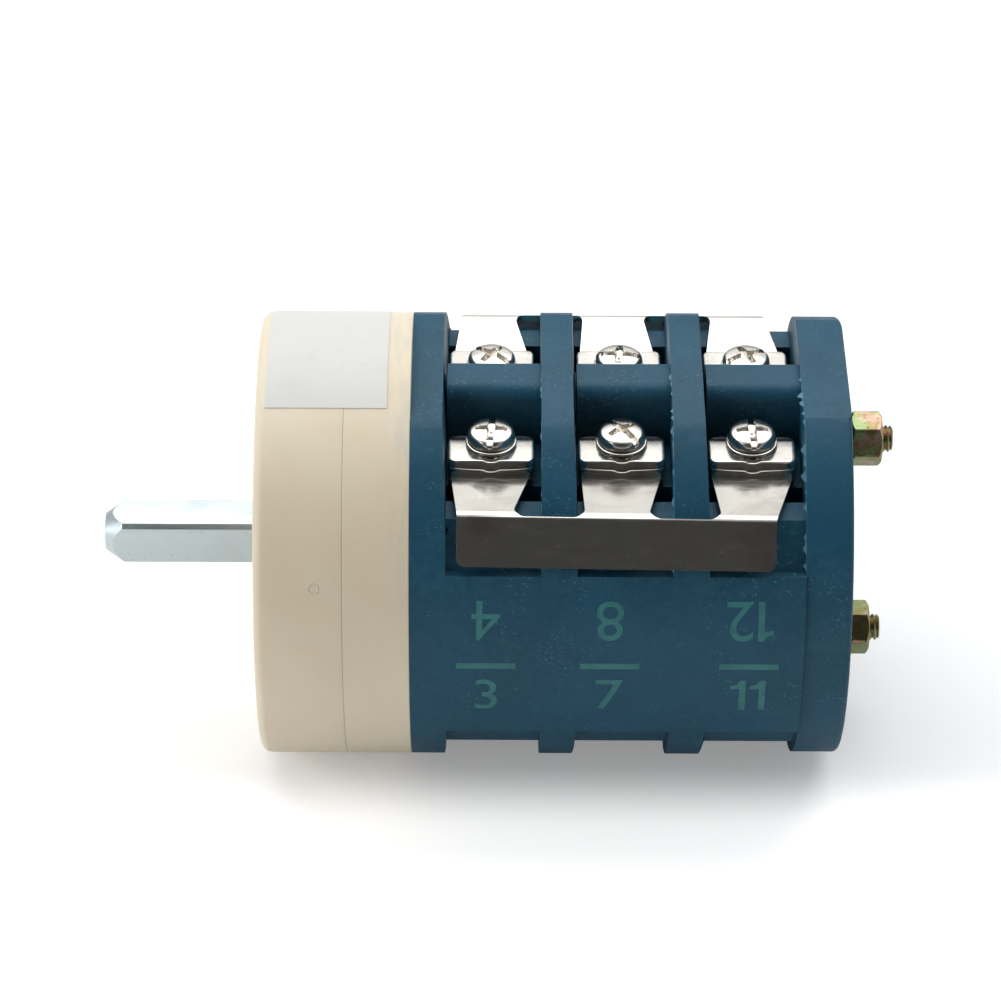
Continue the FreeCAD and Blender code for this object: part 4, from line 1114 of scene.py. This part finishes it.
@dataclass
class Fasteners(Builder):
    """The two tie rods with their threads, and the nuts at the rear."""

    rod_offset: float = 17.0
    rod_radius: float = 2.0
    head_radius: float = 3.6
    head_height: float = 2.4
    slot_half: float = 0.48
    slot_depth: float = 1.3
    pitch: float = 0.7
    thread_depth: float = 0.4
    thread_length: float = 7.0
    across_flats: float = 7.0
    nut_height: float = 4.4
    chamfer: float = 0.45
    nut_turns: tuple[float, float] = (25.0, -22.6)

    def rod(self, start: float, end: float, z: float) -> np.ndarray:
        """Turn a tie rod: a slotted head, a plain shank and a thread whose crest winds round it.

        The thread's radius falls by a triangle wave of the angle and the place along the rod.
        """
        turn = np.linspace(0, TURN, 72, endpoint=False)
        share = np.linspace(0.01, 1.0, 22)[:, None]
        far = share * self.head_radius
        slot = self.slot_depth * smooth_step((self.slot_half + 0.05 - np.abs(far * np.cos(turn))) / 0.1)
        face = lay(start + slot, far * np.cos(turn), far * np.sin(turn))
        under, tail = start + self.head_height, end - self.thread_length
        plain = np.array([(under, self.head_radius), (under, self.rod_radius), (tail, self.rod_radius)])
        place, size = plain[:, :1], plain[:, 1:]
        shank = lay(place, size * np.cos(turn), size * np.sin(turn))
        along = np.arange(tail + 0.05, end, self.pitch / 9)[:, None]
        wave = np.abs(((along / self.pitch - turn / TURN) % 1.0) * 2 - 1)
        depth = self.thread_depth * smooth_step((along - end + self.thread_length) / 1.2)
        radius = self.rod_radius - depth * wave
        radius = np.minimum(radius, self.rod_radius - 0.42 + (end - along))
        thread = lay(along, radius * np.cos(turn), radius * np.sin(turn))
        return np.concatenate([face, shank, thread]) + np.array([0.0, 0.0, z])

    def nut(self, start: float, z: float, turned: float) -> np.ndarray:
        """Cut a hexagon nut: at each place along it the radius is the lesser of hexagon and chamfer cone."""
        turn = np.linspace(0, TURN, 216, endpoint=False)
        flat = self.across_flats / 2
        facet = (turn + math.pi / 6) % (math.pi / 3) - math.pi / 6
        corner = flat / math.cos(math.pi / 6)
        hexagon = np.minimum(flat / np.cos(facet), corner - 0.06)
        steps = np.array([0.0, 0.08, 0.16, 0.26, 0.36, self.chamfer + 0.02])
        along = np.concatenate([steps, self.nut_height - steps[::-1]])[:, None]
        inward = np.minimum(along, self.nut_height - along)
        cone = corner - (self.chamfer - inward) * 1.5
        outer = np.minimum(hexagon[None, :], np.where(inward < self.chamfer, cone, corner))
        bore = np.array([[self.nut_height], [0.0]])
        mouth = np.full((2, len(turn)), self.rod_radius + 0.02)
        along = np.concatenate([along, bore])
        radius = np.concatenate([outer, mouth])
        way = turn + math.radians(turned)
        points = lay(start + along, radius * np.cos(way), radius * np.sin(way))
        return points + np.array([0.0, 0.0, z])

    def build(self) -> None:
        """Build both rods as one piece and both nuts as another."""
        rod_low, rod_high, _ = middle_and_size("tie_rods")
        nut_low, _, _ = middle_and_size("tie_nuts")
        rods, nuts = Shell(), Shell()
        for level, turned in zip(Level, self.nut_turns):
            z = level.value * self.rod_offset
            rods.grid(self.rod(rod_low[0], rod_high[0], z), ends=True)
            nuts.grid(self.nut(nut_low[0], z, turned), loop=True)
        self.settle(rods.build("tie_rods_threaded", 28.0), "switch_body", Slot.YELLOW, "tie_rods")
        self.settle(nuts.build("tie_nuts_chamfered", 22.0), "switch_body", Slot.YELLOW, "tie_nuts")


@dataclass(frozen=True)
class SoftBox:
    """A lamp: where it hangs, what it points at and its sides in millimetres, and its power in watts."""

    name: str
    place: tuple[float, float, float]
    aim: tuple[float, float, float]
    size: tuple[float, float]
    power: float


@dataclass
class Studio:
    """The pale floor, the soft lights, the room that metal reflects, and the camera."""

    floor_height: float = -32.0
    floor_half: float = 1500.0
    focal: float = 151.05
    sensor: float = 36.0
    aim: tuple[float, float, float] = (34.3, 0.0, 0.0)
    rise: float = 4.66
    distance: float = 611.1
    elevation: float = 35.9
    roll: float = 0.25
    room: float = 0.5
    # Painted light and shade on the floor: the span along Y where its camera-only glow changes, and the glow
    # at each end.
    shadow_edge: tuple[float, float] = (14.0, 29.0)
    painted_floor_glow: tuple[float, float] = (0.25, 0.65)
    boxes: tuple[SoftBox, ...] = (
        SoftBox("overhead_box", (60, 380, 780), (34, 0, 0), (1300, 800), 6.4),
        SoftBox("back_box", (34, 860, 560), (34, 0, 0), (1400, 500), 1.1),
        SoftBox("front_end_box", (-560, -260, 300), (20, 0, 0), (420, 420), 1.6),
    )
    dark_card: float = 0.05

    def floor(self) -> None:
        """Lay a pale floor whose camera-only glow is weaker under the switch and stronger towards the camera.
        The weak glow is painted shade that holds the shadow close, and the strong glow is painted light that
        washes the shadow's far part out to plain white.
        """
        half, height = self.floor_half * MM, self.floor_height * MM
        mesh = bpy.data.meshes.new("studio_floor")
        corners = [(-half, -half, height), (half, -half, height), (half, half, height), (-half, half, height)]
        mesh.from_pydata(corners, [], [(0, 1, 2, 3)])
        piece = add_object("studio_floor", mesh)
        material = bpy.data.materials.new("pale_floor")
        material.use_nodes = True
        graph = Graph(material.node_tree)
        shader = principled(material)
        shader.inputs["Base Color"].default_value = (0.9, 0.9, 0.9, 1.0)
        shader.inputs["Roughness"].default_value = 0.9
        shader.inputs["Specular IOR Level"].default_value = 0.0
        glow = graph.node("ShaderNodeEmission")
        path = graph.node("ShaderNodeLightPath")
        # Painted light and shade: the glow rises from the lower value under the switch to the higher one
        # towards the camera, so the shadow stays short.
        near, far = (-value * MM for value in self.shadow_edge)
        strength = graph.between(graph.fade(graph.split(graph.place())[1], near, far), *self.painted_floor_glow)
        graph.put(glow.inputs["Strength"], graph.times(path.outputs["Is Camera Ray"], strength))
        joined = graph.node("ShaderNodeAddShader")
        graph.put(joined.inputs[0], shader.outputs[0])
        graph.put(joined.inputs[1], glow.outputs[0])
        out = next(node for node in material.node_tree.nodes if node.type == "OUTPUT_MATERIAL")
        graph.put(out.inputs["Surface"], joined.outputs[0])
        mesh.materials.append(material)

    def light(self, box: SoftBox) -> None:
        """Hang one soft box and point it."""
        lamp = bpy.data.lights.new(box.name, "AREA")
        lamp.shape = "RECTANGLE"
        lamp.size, lamp.size_y = (value * MM for value in box.size)
        lamp.energy = box.power
        holder = add_object(box.name, lamp)
        spot, target = Vector(box.place) * MM, Vector(box.aim) * MM
        turn = (target - spot).to_track_quat("-Z", "Y").to_matrix().to_4x4()
        holder.matrix_world = Matrix.Translation(spot) @ turn

    def surround(self) -> None:
        """Light the room evenly, with a dark card low in front that polished metal picks up."""
        world = bpy.data.worlds.new("studio_room")
        bpy.context.scene.world = world
        world.use_nodes = True
        graph = Graph(world.node_tree)
        way = graph.node("ShaderNodeTexCoord").outputs["Generated"]
        _, y, z = graph.split(way)
        elevation = math.radians(self.elevation)
        towards = graph.maths("SUBTRACT", graph.times(z, math.sin(elevation)),
                              graph.times(y, math.cos(elevation)))
        card = graph.fade(towards, 0.62, 0.9)
        strength = graph.between(card, self.room, self.dark_card)
        sky = world.node_tree.nodes["Background"]
        sky.inputs["Color"].default_value = (0.97, 0.985, 1.0, 1.0)
        graph.put(sky.inputs["Strength"], strength)

    def camera(self) -> None:
        """Set the camera at the photograph's angle."""
        lift = math.radians(self.elevation)
        forward = Vector((0, math.cos(lift), -math.sin(lift)))
        up = Vector((0, math.sin(lift), math.cos(lift)))
        data = bpy.data.cameras.new("studio_camera")
        data.lens, data.sensor_width = self.focal, self.sensor
        data.clip_start, data.clip_end = 0.01, 20.0
        holder = add_object("studio_camera", data)
        spot = (Vector(self.aim) + up * self.rise - forward * self.distance) * MM
        turn = forward.to_track_quat("-Z", "Y").to_matrix().to_4x4()
        roll = Matrix.Rotation(math.radians(self.roll), 4, "Z")
        holder.matrix_world = Matrix.Translation(spot) @ turn @ roll
        bpy.context.scene.camera = holder

    def build(self) -> None:
        """Build the studio."""
        bpy.context.scene.view_settings.view_transform = "Standard"
        self.floor()
        self.surround()
        for box in self.boxes:
            self.light(box)
        self.camera()


def main() -> None:
    """Build the switch round its frame, then the studio, and log each piece that was made."""
    logging.basicConfig(level=logging.INFO, format="%(name)s: %(message)s")
    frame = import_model()
    wardrobe = Wardrobe()
    for kind in (Cap, Drive, Stack, Numbers, Terminals, Contacts, Fasteners):
        part = kind(frame, wardrobe)
        part.build()
        for name in part.made:
            LOG.info("%s: %s", kind.__name__, name)
    Studio().build()


if __name__ == "__main__":
    main()
